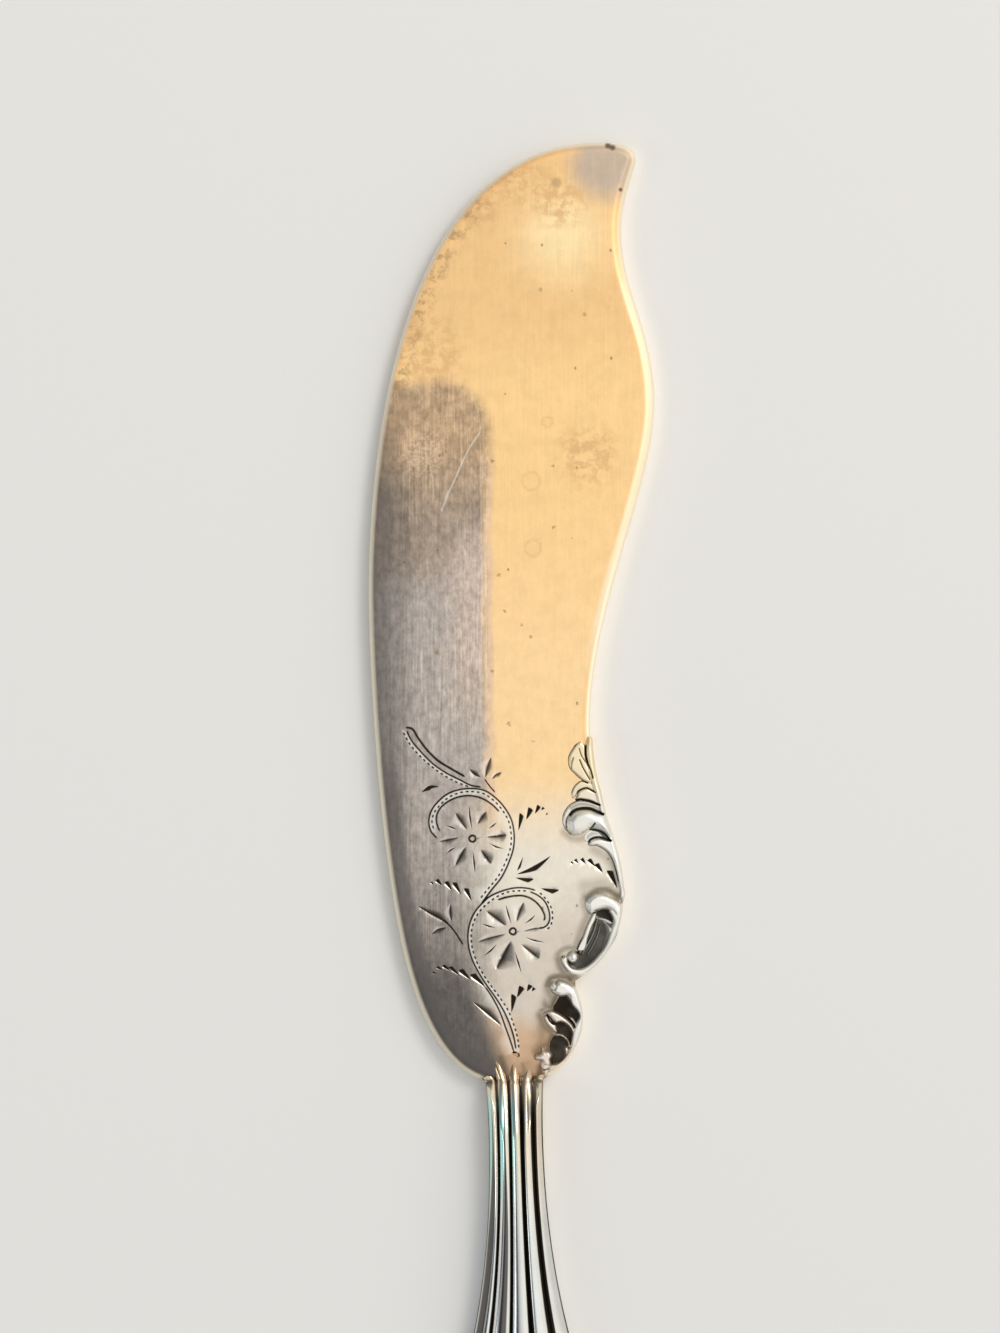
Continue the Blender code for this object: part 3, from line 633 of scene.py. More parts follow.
def outline_loop():
    """Corners of the CAD blade's back, from the heel's left corner round by the tip to its right one."""
    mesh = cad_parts["blade"].data
    mesh.calc_loop_triangles()
    spots = [tuple(round(value / MM, 3) for value in vert.co) for vert in mesh.vertices]
    sides = set()
    for triangle in mesh.loop_triangles:
        corners = [spots[index] for index in triangle.vertices]
        if max(corner[2] for corner in corners) < SOLDER_GAP:
            for a, b in zip(corners, corners[1:] + corners[:1]):
                if (b, a) in sides:
                    sides.remove((b, a))
                else:
                    sides.add((a, b))
    after = dict(sides)
    heel = [spot for spot in after if abs(spot[1] - HEEL_Y) < SOLDER_GAP]
    loop = [min(heel)]
    while after[loop[-1]] != loop[0]:
        loop.append(after[loop[-1]])
    if loop[1][1] < HEEL_Y + SOLDER_GAP:
        loop = loop[:1] + loop[:0:-1]
    loop = np.array(loop)[:, :2]
    apart = np.hypot(*np.diff(loop, axis=0).T) > OUTLINE_STEP / 3
    return loop[np.concatenate([[True], apart])]


def refined_outline():
    loop = outline_loop()
    headings = np.arctan2(*np.diff(loop, axis=0).T[::-1])
    turns = np.abs((np.diff(headings) + math.pi) % (2 * math.pi) - math.pi)
    stops = [0, *(np.flatnonzero(turns > CORNER_TURN) + 1), len(loop) - 1]
    stretches = [smooth_path(loop[a:b + 1], OUTLINE_STEP)[:-1] for a, b in zip(stops, stops[1:])]
    return np.vstack([*stretches, loop[-1:]])


OUTLINE = refined_outline()
CLOSED_OUTLINE = np.vstack([OUTLINE, OUTLINE[:1]])
RIM_WIDTHS = np.interp(run_shares(OUTLINE), *zip(*RIM_ROUND))


def line_cut(nodes, width_px, slope=LINE_SLOPE, stain=1.0, bright=0.0, ends=(0.0, 0.0)):
    """A cut of even width; ends are the shares of the width that it keeps at its start and end."""
    path = photo_path(nodes, LINE_STEP)
    half = np.full(len(path), width_px * PX / 2)
    half[0] *= ends[0]
    half[-1] *= ends[1]
    path = np.column_stack([path, half, half])
    return {"path": path, "slope": slope, "stain": stain, "bright": bright, "facets": False}


def facet_cut(nodes, dark_px, bright_px, widest, fill, soft=False):
    """A cut with a dark facet left of its crisp line and a bright one right of it; a soft one fades out."""
    # The dark facet's colour is painted shade, and the bright facet's a painted highlight
    path = photo_path(nodes, FACET_STEP)
    swell = np.interp(run_shares(path), [0, widest, 1], [0, 1, 0]) ** FACET_SWELL
    path = np.column_stack([path, swell * dark_px * PX, swell * bright_px * PX])
    bright = SOFT_BRIGHT if soft else CRISP_BRIGHT
    return {"path": path, "slope": FACET_SLOPE, "stain": fill, "bright": bright, "facets": True, "soft": soft}


def dash_cuts(nodes):
    path = photo_path(nodes, LINE_STEP)
    run = runs_of(path)
    shares, widths = np.transpose(DASH_SHAPE)
    half = DASH_WIDTH_PX * PX / 2 * widths
    cuts = []
    for start in np.arange(0, run[-1] - DASH_LENGTH, DASH_PITCH):
        places = start + DASH_LENGTH * shares
        spots = [np.interp(places, run, values) for values in path.T]
        dash = np.column_stack([*spots, half, half])
        cuts.append({"path": dash, "slope": LINE_SLOPE, "stain": 1.0, "bright": 0.0, "facets": False})
    return cuts


def ring_cut(centre):
    turns = np.linspace(0, 2 * math.pi, RING_POINTS)
    ring = np.array(centre) + RING_RADIUS_PX * np.column_stack([np.cos(turns), np.sin(turns)])
    return line_cut(ring, RING_WIDTH_PX, ends=(1, 1))


def engraving():
    cuts = [line_cut(nodes, width_px) for nodes, width_px in LINES]
    for nodes in DASHES:
        cuts += dash_cuts(nodes)
    cuts += [ring_cut(centre) for centre in RINGS]
    cuts += [facet_cut(nodes, VEIN_DARK_PX, VEIN_BRIGHT_PX, VEIN_WIDEST, VEIN_FILL, True) for nodes in VEINS]
    for nodes, dark_px, bright_px, widest in PETALS:
        spread = (PETAL_SPREAD * dark_px, PETAL_SPREAD * bright_px)
        cuts.append(facet_cut(nodes, *spread, widest, PETAL_FILL, True))
    cuts += [facet_cut(*leaf, SOFT_LEAF_FILL, True) for leaf in SOFT_LEAVES]
    cuts += [facet_cut(*leaf, LEAF_FILL) for leaf in LEAVES]
    for nodes, dark_px, bright_px in TEETH:
        cuts.append(facet_cut(nodes, TOOTH_SPREAD * dark_px, bright_px, TOOTH_WIDEST, TOOTH_FILL))
    for nodes, width_px, bright in SCRATCHES:
        cuts.append(line_cut(nodes, width_px, SCRATCH_SLOPE, stain=0.0, bright=bright))
    return cuts


def cut_lines(cut):
    """The cut's edges, its bottom, and lines beside the bottom in a facet cut, and whether each is crisp."""
    path = cut["path"]
    spots = path[:, :2]
    normals = left_normals(path)
    left, right = normals * path[:, 2:3], -normals * path[:, 3:4]
    plain = not cut["facets"]
    lines = [(spots + left, plain), (spots + right, plain), (spots, True)]
    if cut["facets"]:
        lines += [(spots + move * share, False) for move in (left, right) for share in FACET_LINES]
    return lines


def cut_at(cut, points):
    """Depth of the cut under each point, its tarnish and painted shade, and its painted highlight."""
    path = cut["path"]
    far, side, place = nearest_on(path, points)
    steps = np.arange(len(path))
    left = np.interp(place, steps, path[:, 2])
    right = np.interp(place, steps, path[:, 3])
    half = np.maximum(np.where(side > 0, left, right), 1e-6)
    nearness = np.clip(1 - far / half, 0, 1) * np.clip(CUT_END_FADE * left / path[:, 2].max(), 0, 1)
    depth = left * cut["slope"]
    if not cut["facets"]:
        return depth * nearness, smooth(nearness * LINE_BOLDNESS) * cut["stain"], nearness * cut["bright"]
    bright_side = (side < 0) & (far > CUT_MIDDLE)
    bottom = smooth((nearness - CRISP_START) / (1 - CRISP_START))
    if cut["soft"]:
        fade = nearness ** FACET_SOFTNESS
        dark = np.maximum(smooth(nearness * SOFT_PLATEAU) * cut["stain"], SOFT_BOTTOM * bottom)
    else:
        fade = nearness
        dark = np.maximum(smooth(nearness * CRISP_PLATEAU) * cut["stain"], bottom)
    dark = np.where(bright_side, BRIGHT_BOTTOM * bottom, dark)
    bright = smooth(nearness * BRIGHT_PLATEAU) * cut["bright"]
    return depth * fade, dark, np.where(bright_side, bright, 0)


def shading(points):
    """How much painted shade, with dirt, each point has from its nearness to the raised work."""
    near = np.zeros(len(points))
    for nodes, reach_px, strength in SHADES:
        far, _, _ = nearest_on(photo_path(nodes, SHADE_STEP), points)
        near = np.maximum(near, strength * smooth(1 - far / (reach_px * PX)))
    return near


def band_share(points):
    """How far each point is in the pale bands of the vine."""
    share = np.zeros(len(points))
    for nodes, reach_px, keep in BANDS:
        far, side, _ = nearest_on(photo_path(nodes, SHADE_STEP), points)
        inside = (far < reach_px * PX) & ((side * keep >= 0) | (far < BAND_MIDDLE))
        share = np.maximum(share, BAND_SHARE * inside)
    return share


def within(path, points):
    """Whether each point is inside the closed path."""
    x, y = points.T
    inside = np.zeros(len(points), bool)
    for (x0, y0), (x1, y1) in zip(path, path[1:]):
        if y0 != y1:
            inside ^= ((y0 > y) != (y1 > y)) & (x < x0 + (y - y0) * (x1 - x0) / (y1 - y0))
    return inside


def inset_in(outline, points):
    """Each point's distance inside a closed outline in the photograph, below zero outside it."""
    path = photo_path([*outline, outline[0]], SCROLL_STEP)
    far, _, _ = nearest_on(path, points)
    return np.where(within(path, points), far, -far)


def raised(inset, height):
    """The height inside an outline, and a steep fall outside it."""
    return np.where(inset > 0, height, np.maximum(inset * PAD_FALL, BESIDE))


def pad_height(outline, height, edge_px, points):
    inset = inset_in(outline, points)
    share = np.clip(inset / (edge_px * PX), 0, 1)
    return raised(inset, height * np.sqrt(share * (2 - share)))


def slope_height(outline, height, edge_px, points):
    inset = inset_in(outline, points)
    return raised(inset, height * smooth(inset / (edge_px * PX)))


def rod_height(nodes, points):
    nodes = from_photo(nodes)
    nodes[:, 2] *= PX
    path = smooth_path(nodes, SCROLL_STEP)
    far, _, place = nearest_on(path, points)
    steps = np.arange(len(path))
    half = np.interp(place, steps, path[:, 2])
    lift = np.interp(place, steps, path[:, 3]) * (1 - (far / half) ** ROD_ROUNDNESS)
    return np.maximum(lift, BESIDE)


def blended(height, lift):
    """The higher of the two, rounded where they meet."""
    near = np.clip(SCROLL_BLEND - np.abs(height - lift), 0, None)
    return np.maximum(height, lift) + near**2 / (4 * SCROLL_BLEND)


def scroll_height(scroll, points):
    """Height of a scroll over the blade's face, below zero beside it, and its stain."""
    height = np.full(len(points), BESIDE)
    stain = np.zeros(len(points))
    for pad in scroll["pads"].values():
        height = blended(height, pad_height(*pad, points))
    for slope in scroll["slopes"].values():
        height = np.maximum(height, slope_height(*slope, points))
    for outline, floor, dark, fade_px in scroll["hollows"]:
        inset = inset_in(outline, points)
        seen = smooth((floor - height + HOLLOW_WALL) / HOLLOW_WALL) * smooth(inset / (fade_px * PX))
        bowl = HOLLOW_BOWL * (1 - smooth(inset / (HOLLOW_REACH * PX)))
        height = np.maximum(height, floor + np.where(inset > 0, bowl, HOLLOW_BOWL + inset * PAD_FALL))
        stain = np.maximum(stain, dark * seen)
    for nodes in scroll["ridges"]:
        lift = rod_height(nodes, points)
        stain = np.where(lift > height, RIDGE_STAIN, stain)
        height = np.maximum(height, lift)
    for nodes, half_px, depth, dark in scroll["grooves"]:
        far, _, _ = nearest_on(photo_path(nodes, SCROLL_STEP), points)
        share = np.clip(1 - (far / (half_px * PX)) ** 2, 0, None)
        height = np.where(height > GROOVE_FLOOR, np.maximum(height - depth * share, GROOVE_FLOOR), height)
        stain = np.maximum(stain, dark * share)
    return height, stain


SCROLLS = {"spine_leaf_mount": LEAF_SCROLL, "c_scroll_mount": C_SCROLL, "heel_scroll_mount": HEEL_SCROLL}


def scrolls_height(points):
    return np.max([scroll_height(scroll, points)[0] for scroll in SCROLLS.values()], axis=0)


def lattice(step):
    """Points all over the blade's box, with every other row shifted by half a step."""
    low, high = OUTLINE.min(axis=0), OUTLINE.max(axis=0)
    x, y = np.meshgrid(np.arange(low[0], high[0], step), np.arange(low[1], high[1], step))
    x = x + (np.arange(len(x)) % 2)[:, None] * step / 2
    return np.column_stack([x.ravel(), y.ravel()])


def scroll_lattice():
    """Close points where scrolls stand on the blade or shade it."""
    points = lattice(FINE_LATTICE)
    points = points[(points[:, 1] < HEEL_Y + SCROLLS_TOP) & (points[:, 0] > AXIS_X - SCROLLS_LEFT)]
    return points[(shading(points) > 0) | (scrolls_height(points) > NEARLY_BESIDE)]


def rim_rings():
    """Points along the rounded rim, and along lines further in."""
    inward = -left_normals(OUTLINE)
    rings = []
    for turn in np.arange(RIM_STEP, math.pi / 2 + RIM_STEP / 2, RIM_STEP):
        ring = OUTLINE + inward * (RIM_WIDTHS * (1 - math.cos(turn)))[:, None]
        rings.append(ring[1:-1])
    rings += [OUTLINE + inward * inset for inset in INSET_RINGS]
    return np.vstack(rings)


def blade_points(cuts):
    """Points and lines for the blade's face, from outline, rim, lattices and cuts, and the crisp lines."""
    count = len(OUTLINE)
    lines = [(i, (i + 1) % count) for i in range(count)]
    rings = rim_rings()
    loose = np.vstack([rings, lattice(LATTICE), scroll_lattice()])
    far, side, _ = nearest_on(CLOSED_OUTLINE, loose)
    clear = np.full(len(loose), RIM_CLEAR)
    clear[:len(rings)] = OUTLINE_CLEAR
    points = [OUTLINE, loose[(side < 0) & (far > clear)]]
    start = sum(map(len, points))
    crisp_lines = set()
    for cut in cuts:
        for line, crisp in cut_lines(cut):
            points.append(line)
            if crisp:
                crisp_lines.update(range(len(lines), len(lines) + len(line) - 1))
            lines += [(start + i, start + i + 1) for i in range(len(line) - 1)]
            start += len(line)
    return np.vstack(points), lines, crisp_lines


def blade_face():
    """The blade's face: points, triangles, attributes, crisp edges, and which points are the outline's."""
    cuts = engraving()
    points, lines, crisp_lines = blade_points(cuts)
    found = delaunay_2d_cdt([tuple(p) for p in points], lines, [], 1, MERGE_REACH, True)
    flat = np.array([tuple(p) for p in found[0]])
    faces = found[2]
    place = {source: index for index, sources in enumerate(found[3]) for source in sources}
    crisp_edges = [edge for edge, sources in zip(found[1], found[4]) if crisp_lines.intersection(sources)]
    middles = np.array([flat[face].mean(axis=0) for face in faces])
    _, side, _ = nearest_on(CLOSED_OUTLINE, middles)
    faces = [face for face, inside in zip(faces, side < 0) if inside]
    far, _, at = nearest_on(OUTLINE, flat)
    width = np.interp(at, np.arange(len(OUTLINE)), RIM_WIDTHS)
    fall = 1 - np.sqrt(np.clip(1 - np.clip(1 - far / width, 0, 1) ** 2, 0, 1))
    height = FACE_Z - fall * width * RIM_FALL
    stain = np.zeros(len(flat))
    bright = band_share(flat)
    for cut in cuts:
        reach = cut["path"][:, 2:].max() + CUT_ROOM
        low, high = cut["path"][:, :2].min(axis=0) - reach, cut["path"][:, :2].max(axis=0) + reach
        near = np.flatnonzero(((flat > low) & (flat < high)).all(axis=1))
        if len(near):
            depth, dark, pale = cut_at(cut, flat[near])
            height[near] = np.minimum(height[near], FACE_Z - depth)
            stain[near] = np.maximum(stain[near], dark)
            bright[near] = np.maximum(bright[near], pale)
    inset = np.clip(far / INSET_REACH, 0, 1)
    attributes = {"tarnish": stain, "bright": bright, "shade": shading(flat), "inset": inset}
    rim = [place[i] for i in range(len(OUTLINE))]
    return np.column_stack([flat, height]), faces, attributes, crisp_edges, rim


def tang_box():
    """Corners of the CAD blade's tang, inside the handle."""
    spots = np.array([vert.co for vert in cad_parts["blade"].data.vertices]) / MM
    tang = spots[spots[:, 1] < HEEL_Y - SOLDER_GAP]
    low, high = tang.min(axis=0), tang.max(axis=0)
    high[1] = HEEL_Y + TANG_OVERLAP
    return low, high


def add_piece(name, bm, node, material):
    """The finished mesh, scaled to metres, as a piece that stands for a CAD node."""
    bmesh.ops.recalc_face_normals(bm, faces=bm.faces)
    if bm.calc_volume(signed=True) < 0:
        bmesh.ops.reverse_faces(bm, faces=bm.faces)
    bmesh.ops.scale(bm, vec=(MM, MM, MM), verts=bm.verts)
    for face in bm.faces:
        face.smooth = True
    for edge in bm.edges:
        edge.smooth = edge.smooth and edge.calc_face_angle(0) < CRISP_ANGLE
    mesh = bpy.data.meshes.new(name)
    bm.to_mesh(mesh)
    bm.free()
    mesh.materials.append(material)
    piece = bpy.data.objects.new(name, mesh)
    bpy.context.collection.objects.link(piece)
    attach(piece, "root")
    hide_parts(node)
    return piece


def bridge(bm, loop, other):
    """Faces between two closed loops with as many points."""
    count = len(loop)
    for i in range(count):
        j = (i + 1) % count
        bm.faces.new((loop[i], loop[j], other[j], other[i]))


def blade(material):
    verts, faces, attributes, crisp_edges, rim = blade_face()
    bm = bmesh.new()
    layers = [bm.verts.layers.float.new(name) for name in attributes]
    made = []
    for spot, *values in zip(verts, *attributes.values()):
        vert = bm.verts.new(spot)
        for layer, value in zip(layers, values):
            vert[layer] = value
        made.append(vert)
    for face in faces:
        bm.faces.new([made[i] for i in face])
    for a, b in crisp_edges:
        edge = bm.edges.get((made[a], made[b]))
        if edge:
            edge.smooth = False
    loop = [made[i] for i in rim]
    inward = -left_normals(OUTLINE)
    for turn in np.linspace(0, math.pi / 2, BACK_RINGS):
        inset = BACK_ROUND * (1 - math.cos(turn))
        height = BACK_ROUND * (1 - math.sin(turn))
        lower = [bm.verts.new((*(spot + move * inset), height)) for spot, move in zip(OUTLINE, inward)]
        bridge(bm, loop, lower)
        loop = lower
    bm.faces.new(loop)
    low, high = tang_box()
    corners = bmesh.ops.create_cube(bm, size=1)["verts"]
    for corner in corners:
        corner.co = [a if value < 0 else b for value, a, b in zip(corner.co, low, high)]
    edges = list({edge for corner in corners for edge in corner.link_edges})
    bmesh.ops.bevel(bm, geom=edges, offset=TANG_ROUND, segments=2, affect="EDGES")
    add_piece("engraved_blade", bm, "blade", material)


def blurred(values, radius):
    """The grid's values averaged over a soft round patch."""
    reach = np.arange(-3 * radius, 3 * radius + 1)
    weights = np.exp(-(reach / radius) ** 2 / 2)
    weights /= weights.sum()
    for axis in (0, 1):
        values = np.apply_along_axis(
            lambda row: np.convolve(np.pad(row, 3 * radius, mode="edge"), weights, mode="valid"), axis, values
        )
    return values


def scroll(name, node, material):
    outlines = [outline for outline, _, _ in SCROLLS[node]["pads"].values()]
    marks = from_photo(np.vstack(outlines))
    low, high = marks.min(axis=0) - SCROLL_MARGIN, marks.max(axis=0) + SCROLL_MARGIN
    gx, gy = np.meshgrid(np.arange(low[0], high[0], SCROLL_GRID), np.arange(low[1], high[1], SCROLL_GRID))
    height, dark = scroll_height(SCROLLS[node], np.column_stack([gx.ravel(), gy.ravel()]))
    height = height.reshape(gx.shape)
    solid = np.maximum(height, 0)
    stain = CORNER_STAIN * np.clip((blurred(solid, CORNER_BLUR) - solid) / CORNER_DEPTH, 0, 1)
    stain = np.maximum(stain, dark.reshape(gx.shape))
    kept = height > SCROLL_TRIM
    bm = bmesh.new()
    layer = bm.verts.layers.float.new("tarnish")
    verts = {}
    for row, column in zip(*np.nonzero(kept)):
        vert = bm.verts.new((gx[row, column], gy[row, column], FACE_Z + height[row, column]))
        vert[layer] = stain[row, column]
        verts[row, column] = vert
    for row, column in verts:
        square = [(row, column), (row, column + 1), (row + 1, column + 1), (row + 1, column)]
        if all(spot in verts for spot in square):
            bm.faces.new([verts[spot] for spot in square])
    everything = [*bm.verts, *bm.edges, *bm.faces]
    seat = (0, 0, FACE_Z - SCROLL_SEAT)
    bmesh.ops.bisect_plane(bm, geom=everything, plane_co=seat, plane_no=(0, 0, 1), clear_inner=True)
    bmesh.ops.delete(bm, geom=[vert for vert in bm.verts if not vert.link_faces], context="VERTS")
    bmesh.ops.triangle_fill(bm, edges=[edge for edge in bm.edges if edge.is_boundary], use_beauty=True)
    add_piece(name, bm, node, material)


def hermite(station, start, end):
    """A smooth curve between two (station, half width, slope) points."""
    span = end[0] - start[0]
    t = (station - start[0]) / span
    lean = t * (1 - t) * ((1 - t) * start[2] - t * end[2])
    return mix(start[1], end[1], smooth(t)) + span * lean


def handle_half_width(station):
    """Half width of the handle in plan, and of the fan of reed tips where the station is on the blade."""
    neck = (NECK_STATION, NECK_HALF_WIDTH, 0.0)
    flare = (FLARE_STATION, FLARE_HALF_WIDTH, FLARE_SLOPE)
    grip = (GRIP_STATION, GRIP_HALF_WIDTH, 0.0)
    if station < NECK_STATION:
        share = (NECK_STATION - max(station, 0.0)) / NECK_STATION
        return mix(NECK_HALF_WIDTH, HEEL_HALF_WIDTH, share * share) + REED_TIP_SPREAD * max(-station, 0.0)
    if station < FLARE_STATION:
        return hermite(station, neck, flare)
    if station < GRIP_STATION:
        return hermite(station, flare, grip)
    share = min((station - GRIP_STATION) / (HANDLE_LENGTH - GRIP_STATION), 1.0)
    return mix(BUTT_HALF_WIDTH, GRIP_HALF_WIDTH, math.sqrt(1 - share * share))


def butt_close(station, end):
    share = min(max((station - end + BUTT_ROUND) / BUTT_ROUND, 0.0), 1.0)
    return math.sqrt(1 - share * share)


def handle_share(station):
    return smooth((station - NECK_STATION) / (GRIP_STATION - NECK_STATION))


def handle_stations(start):
    """Rows along the handle: close together at the reeds' tips and at the butt."""
    tips = np.arange(start, TIP_ROWS_END, TIP_ROW)
    body = np.arange(TIP_ROWS_END, HANDLE_LENGTH - BUTT_ROWS_LENGTH, BODY_ROW)
    turns = np.linspace(0, math.pi / 2, BUTT_ROWS)
    butt = HANDLE_LENGTH - BUTT_ROWS_LENGTH * (1 - np.sin(turns))
    return np.concatenate([tips, body, butt])


def reed_places():
    """Places across the handle, the reed at each one, and how far to the right of its ridge it lies."""
    across = np.linspace(-1, 1, REED_COLUMNS + 1)
    reed = np.clip(np.round(across / REED_PITCH), -2, 2).astype(int)
    return across, reed, across / REED_PITCH - reed


def over_reeds(values, across):
    """Values given for the reeds' ridges, at places across the handle."""
    return np.interp(across, REED_PITCH * np.array(list(values)), list(values.values()))


def front_shell_grids():
    """Outer and inner surface of the reeded shell."""
    across, _, lean = reed_places()
    dome = np.sqrt(1 - np.abs(across) ** DOME_FULLNESS)
    rounding = np.sqrt(1 - REED_ROUND * np.clip(2 * np.abs(lean), 0, 1) ** 2)
    valley = (1 - rounding) / (1 - math.sqrt(1 - REED_ROUND))
    tips = over_reeds(REED_TIPS, across)
    rises = over_reeds(NOSE_RISE, across)
    outer, inner = [], []
    for station in handle_stations(-TIP_ROOM):
        share = handle_share(station)
        half = handle_half_width(station)
        close = butt_close(station, HANDLE_LENGTH)
        deeper = 1 + TIP_DEEPER * between(station, *TIP_DEPTH_RUN)
        depth = mix(REED_DEPTH_NECK, REED_DEPTH_GRIP, share) * deeper
        crown = mix(NECK_DOME, GRIP_DOME, share) * smooth((station + tips) / rises)
        on_seam = between(station, *SEAM_RUN)
        sink = TIP_SINK * (1 - on_seam)
        rise = np.maximum((crown - depth * valley) * dome * close, -sink)
        floor = mix(FACE_Z - TIP_SEAT, SEAM_Z, on_seam)
        y = np.full(len(across), HEEL_Y - station)
        outer.append(np.column_stack([AXIS_X + across * half, y, floor + rise]))
        hollow = max(crown.min() * close - depth - SHELL_WALL, 0) * dome
        thin = max(half - SHELL_WALL, INNER_SHARE * half)
        y_in = np.full(len(across), HEEL_Y - station * (1 - SHELL_WALL / HANDLE_LENGTH))
        inner.append(np.column_stack([AXIS_X + across * thin, y_in, floor - INNER_GAP - sink + hollow]))
    return np.array(outer), np.array(inner)


def reed_finish():
    """Tarnish with painted valley shade, and painted grey and cool reflections, on the reeded shell's outside.
    """
    across, reed, lean = reed_places()
    off_ridge = np.abs(lean)
    lit_neck = np.array([REED_LIT_NECK[one][int(side > 0)] for one, side in zip(reed, lean)])
    lit_grip = np.array([REED_LIT_GRIP[one][int(side > 0)] for one, side in zip(reed, lean)])
    left_side = between(across, *LEFT_SIDE)
    joint_side = between(over_reeds(REED_TIPS, across), *JOINT_TIPS)
    rows = []
    for station in handle_stations(-TIP_ROOM):
        lit = mix(lit_neck, lit_grip, between(station, *GRIP_RUN))
        strength = mix(NECK_VALLEY_SHARE, 1.0, between(station, *NECK_VALLEY_RUN)) * between(station, *VALLEY_RUN)
        # Painted shade, with tarnish, in the valleys beyond each reed's lit width
        valleys = VALLEY_SHADE_AND_TARNISH * strength * between(off_ridge, lit - LIT_EDGE, lit + LIT_EDGE)
        joint = JOINT_STAIN * joint_side * between(abs(station - JOINT_STATION), JOINT_REACH, 0)
        stain = np.maximum(np.maximum(valleys, joint), TIP_STAIN * between(station, *TIP_STAIN_RUN))
        # A painted grey reflection along the left reeds' ridges
        crest = CREST_WIDTH * between(station, *CREST_RUN)
        grey = left_side * between(off_ridge, crest + CREST_EDGE, crest) * between(station, *GREY_RUN)
        # A painted cool reflection on the left reeds' left flanks near the neck
        cool = left_side * between(lean, *COOL_SIDE) * between(station, *COOL_RUN)
        rows.append((stain, grey, cool * between(station, *COOL_END_RUN)))
    return dict(zip(("tarnish", "grey", "cool"), zip(*rows)))


def back_shell_grids():
    across = np.linspace(-1, 1, BACK_COLUMNS + 1)
    trough = (1 - np.abs(across) ** TROUGH_FULLNESS) ** (1 / TROUGH_FULLNESS)
    outer, inner = [], []
    for station in handle_stations(SOLDER_GAP):
        half = handle_half_width(station)
        y = np.full(len(across), HEEL_Y - station)
        depth = FACE_Z * trough * butt_close(station, HANDLE_LENGTH)
        outer.append(np.column_stack([AXIS_X + across * half, y, FACE_Z - depth]))
        end = HANDLE_LENGTH - SHELL_WALL
        depth = (FACE_Z - SHELL_WALL) * trough * butt_close(station, end)
        y_in = np.maximum(y, HEEL_Y - end)
        inner.append(np.column_stack([AXIS_X + across * (half - SHELL_WALL), y_in, FACE_Z - depth]))
    return np.array(outer), np.array(inner)


def shell(name, node, outer, inner, attributes, material):
    """A closed shell between two grids of points, joined round their edges."""
    bm = bmesh.new()
    layers = {key: bm.verts.layers.float.new(key) for key in attributes}
    rows, columns = outer.shape[:2]
    sheets = []
    for grid in (outer, inner):
        sheet = [[bm.verts.new(spot) for spot in line] for line in grid]
        for row in range(rows - 1):
            for column in range(columns - 1):
                above, below = sheet[row], sheet[row + 1]
                bm.faces.new((above[column], above[column + 1], below[column + 1], below[column]))
        sheets.append(sheet)
    for key, layer in layers.items():
        for line, values in zip(sheets[0], attributes[key]):
            for vert, value in zip(line, values):
                vert[layer] = value
    rims = []
    for sheet in sheets:
        right = [line[-1] for line in sheet]
        left = [line[0] for line in sheet]
        rims.append(right + sheet[-1][-2:0:-1] + left[::-1] + sheet[0][1:-1])
    bridge(bm, *rims)
    bmesh.ops.remove_doubles(bm, verts=bm.verts, dist=MERGE_SHELL)
    add_piece(name, bm, node, material)


# Colours of the blade: its warm half, patina with a painted reflection of a lamp-lit wall; its grey half,
# a painted reflection of a dark object; painted shade; and marks
WARM_TOP = (0.88, 0.57, 0.265, 1)
WARM_CLOUD = (0.99, 0.77, 0.42, 1)
WARM = (0.965, 0.64, 0.3, 1)
WARM_LOW = (0.985, 0.69, 0.355, 1)
PALE = (0.84, 0.765, 0.64, 1)
PALE_LOW = (0.7, 0.62, 0.52, 1)
HEEL_TAN = (0.66, 0.445, 0.285, 1)
HEEL_BROWN = (0.4, 0.26, 0.16, 1)
# The grey half's colours paint a reflection of a dark object
GREY_TOP = (0.52, 0.36, 0.22, 1)
GREY = (0.37, 0.29, 0.222, 1)
GREY_LIGHT = (0.62, 0.5, 0.41, 1)
GREY_LOW = (0.455, 0.4, 0.355, 1)
# DARK is painted shade
DARK = (0.135, 0.12, 0.108, 1)
# FRINGE is a painted fringe along the grey reflection's edge
FRINGE = (0.8, 0.56, 0.38, 1)
EDGE_DARK = (0.11, 0.1, 0.094, 1)
EDGE_BROWN = (0.42, 0.27, 0.13, 1)
# Colour of the painted highlight along the rim
RIM_HIGHLIGHT = (0.99, 0.9, 0.72, 1)
TIP_GREY = (0.57, 0.45, 0.34, 1)
STAIN = (0.72, 0.44, 0.2, 1)
CREAM = (0.8, 0.6, 0.42, 1)
PIT = (0.12, 0.08, 0.05, 1)
PIT_BROWN = (0.28, 0.17, 0.07, 1)
# Painted shade, with dirt, beside the raised work
DIRT_AND_SHADE = (0.13, 0.095, 0.05, 1)
# Colour of the pale polished bands, and of painted highlights on bright facets and scratches
POLISH_AND_HIGHLIGHT = (0.93, 0.9, 0.84, 1)
# Colour of tarnish, and of painted shade in the reeds' valleys and on dark facets
TARNISH_AND_SHADE = (0.028, 0.022, 0.015, 1)

# Colours of the scrolls, the handle and its filling
LEAF_CREAM = (0.95, 0.8, 0.56, 1)
SCROLL_WHITE = (0.9, 0.88, 0.84, 1)
SCROLL_PEACH = (0.84, 0.71, 0.62, 1)
NECK_CREAM = (0.9, 0.79, 0.64, 1)
GRIP_SILVER = (0.82, 0.83, 0.82, 1)
# Painted grey and cool reflections on the reeds
HANDLE_GREY_REFLECTION = (0.13, 0.12, 0.115, 1)
NECK_COOL_REFLECTION = (0.55, 0.93, 0.87, 1)
TIP_AMBER = (0.55, 0.37, 0.22, 1)
CEMENT_DARK = (0.2, 0.16, 0.11, 1)
CEMENT_LIGHT = (0.42, 0.37, 0.3, 1)

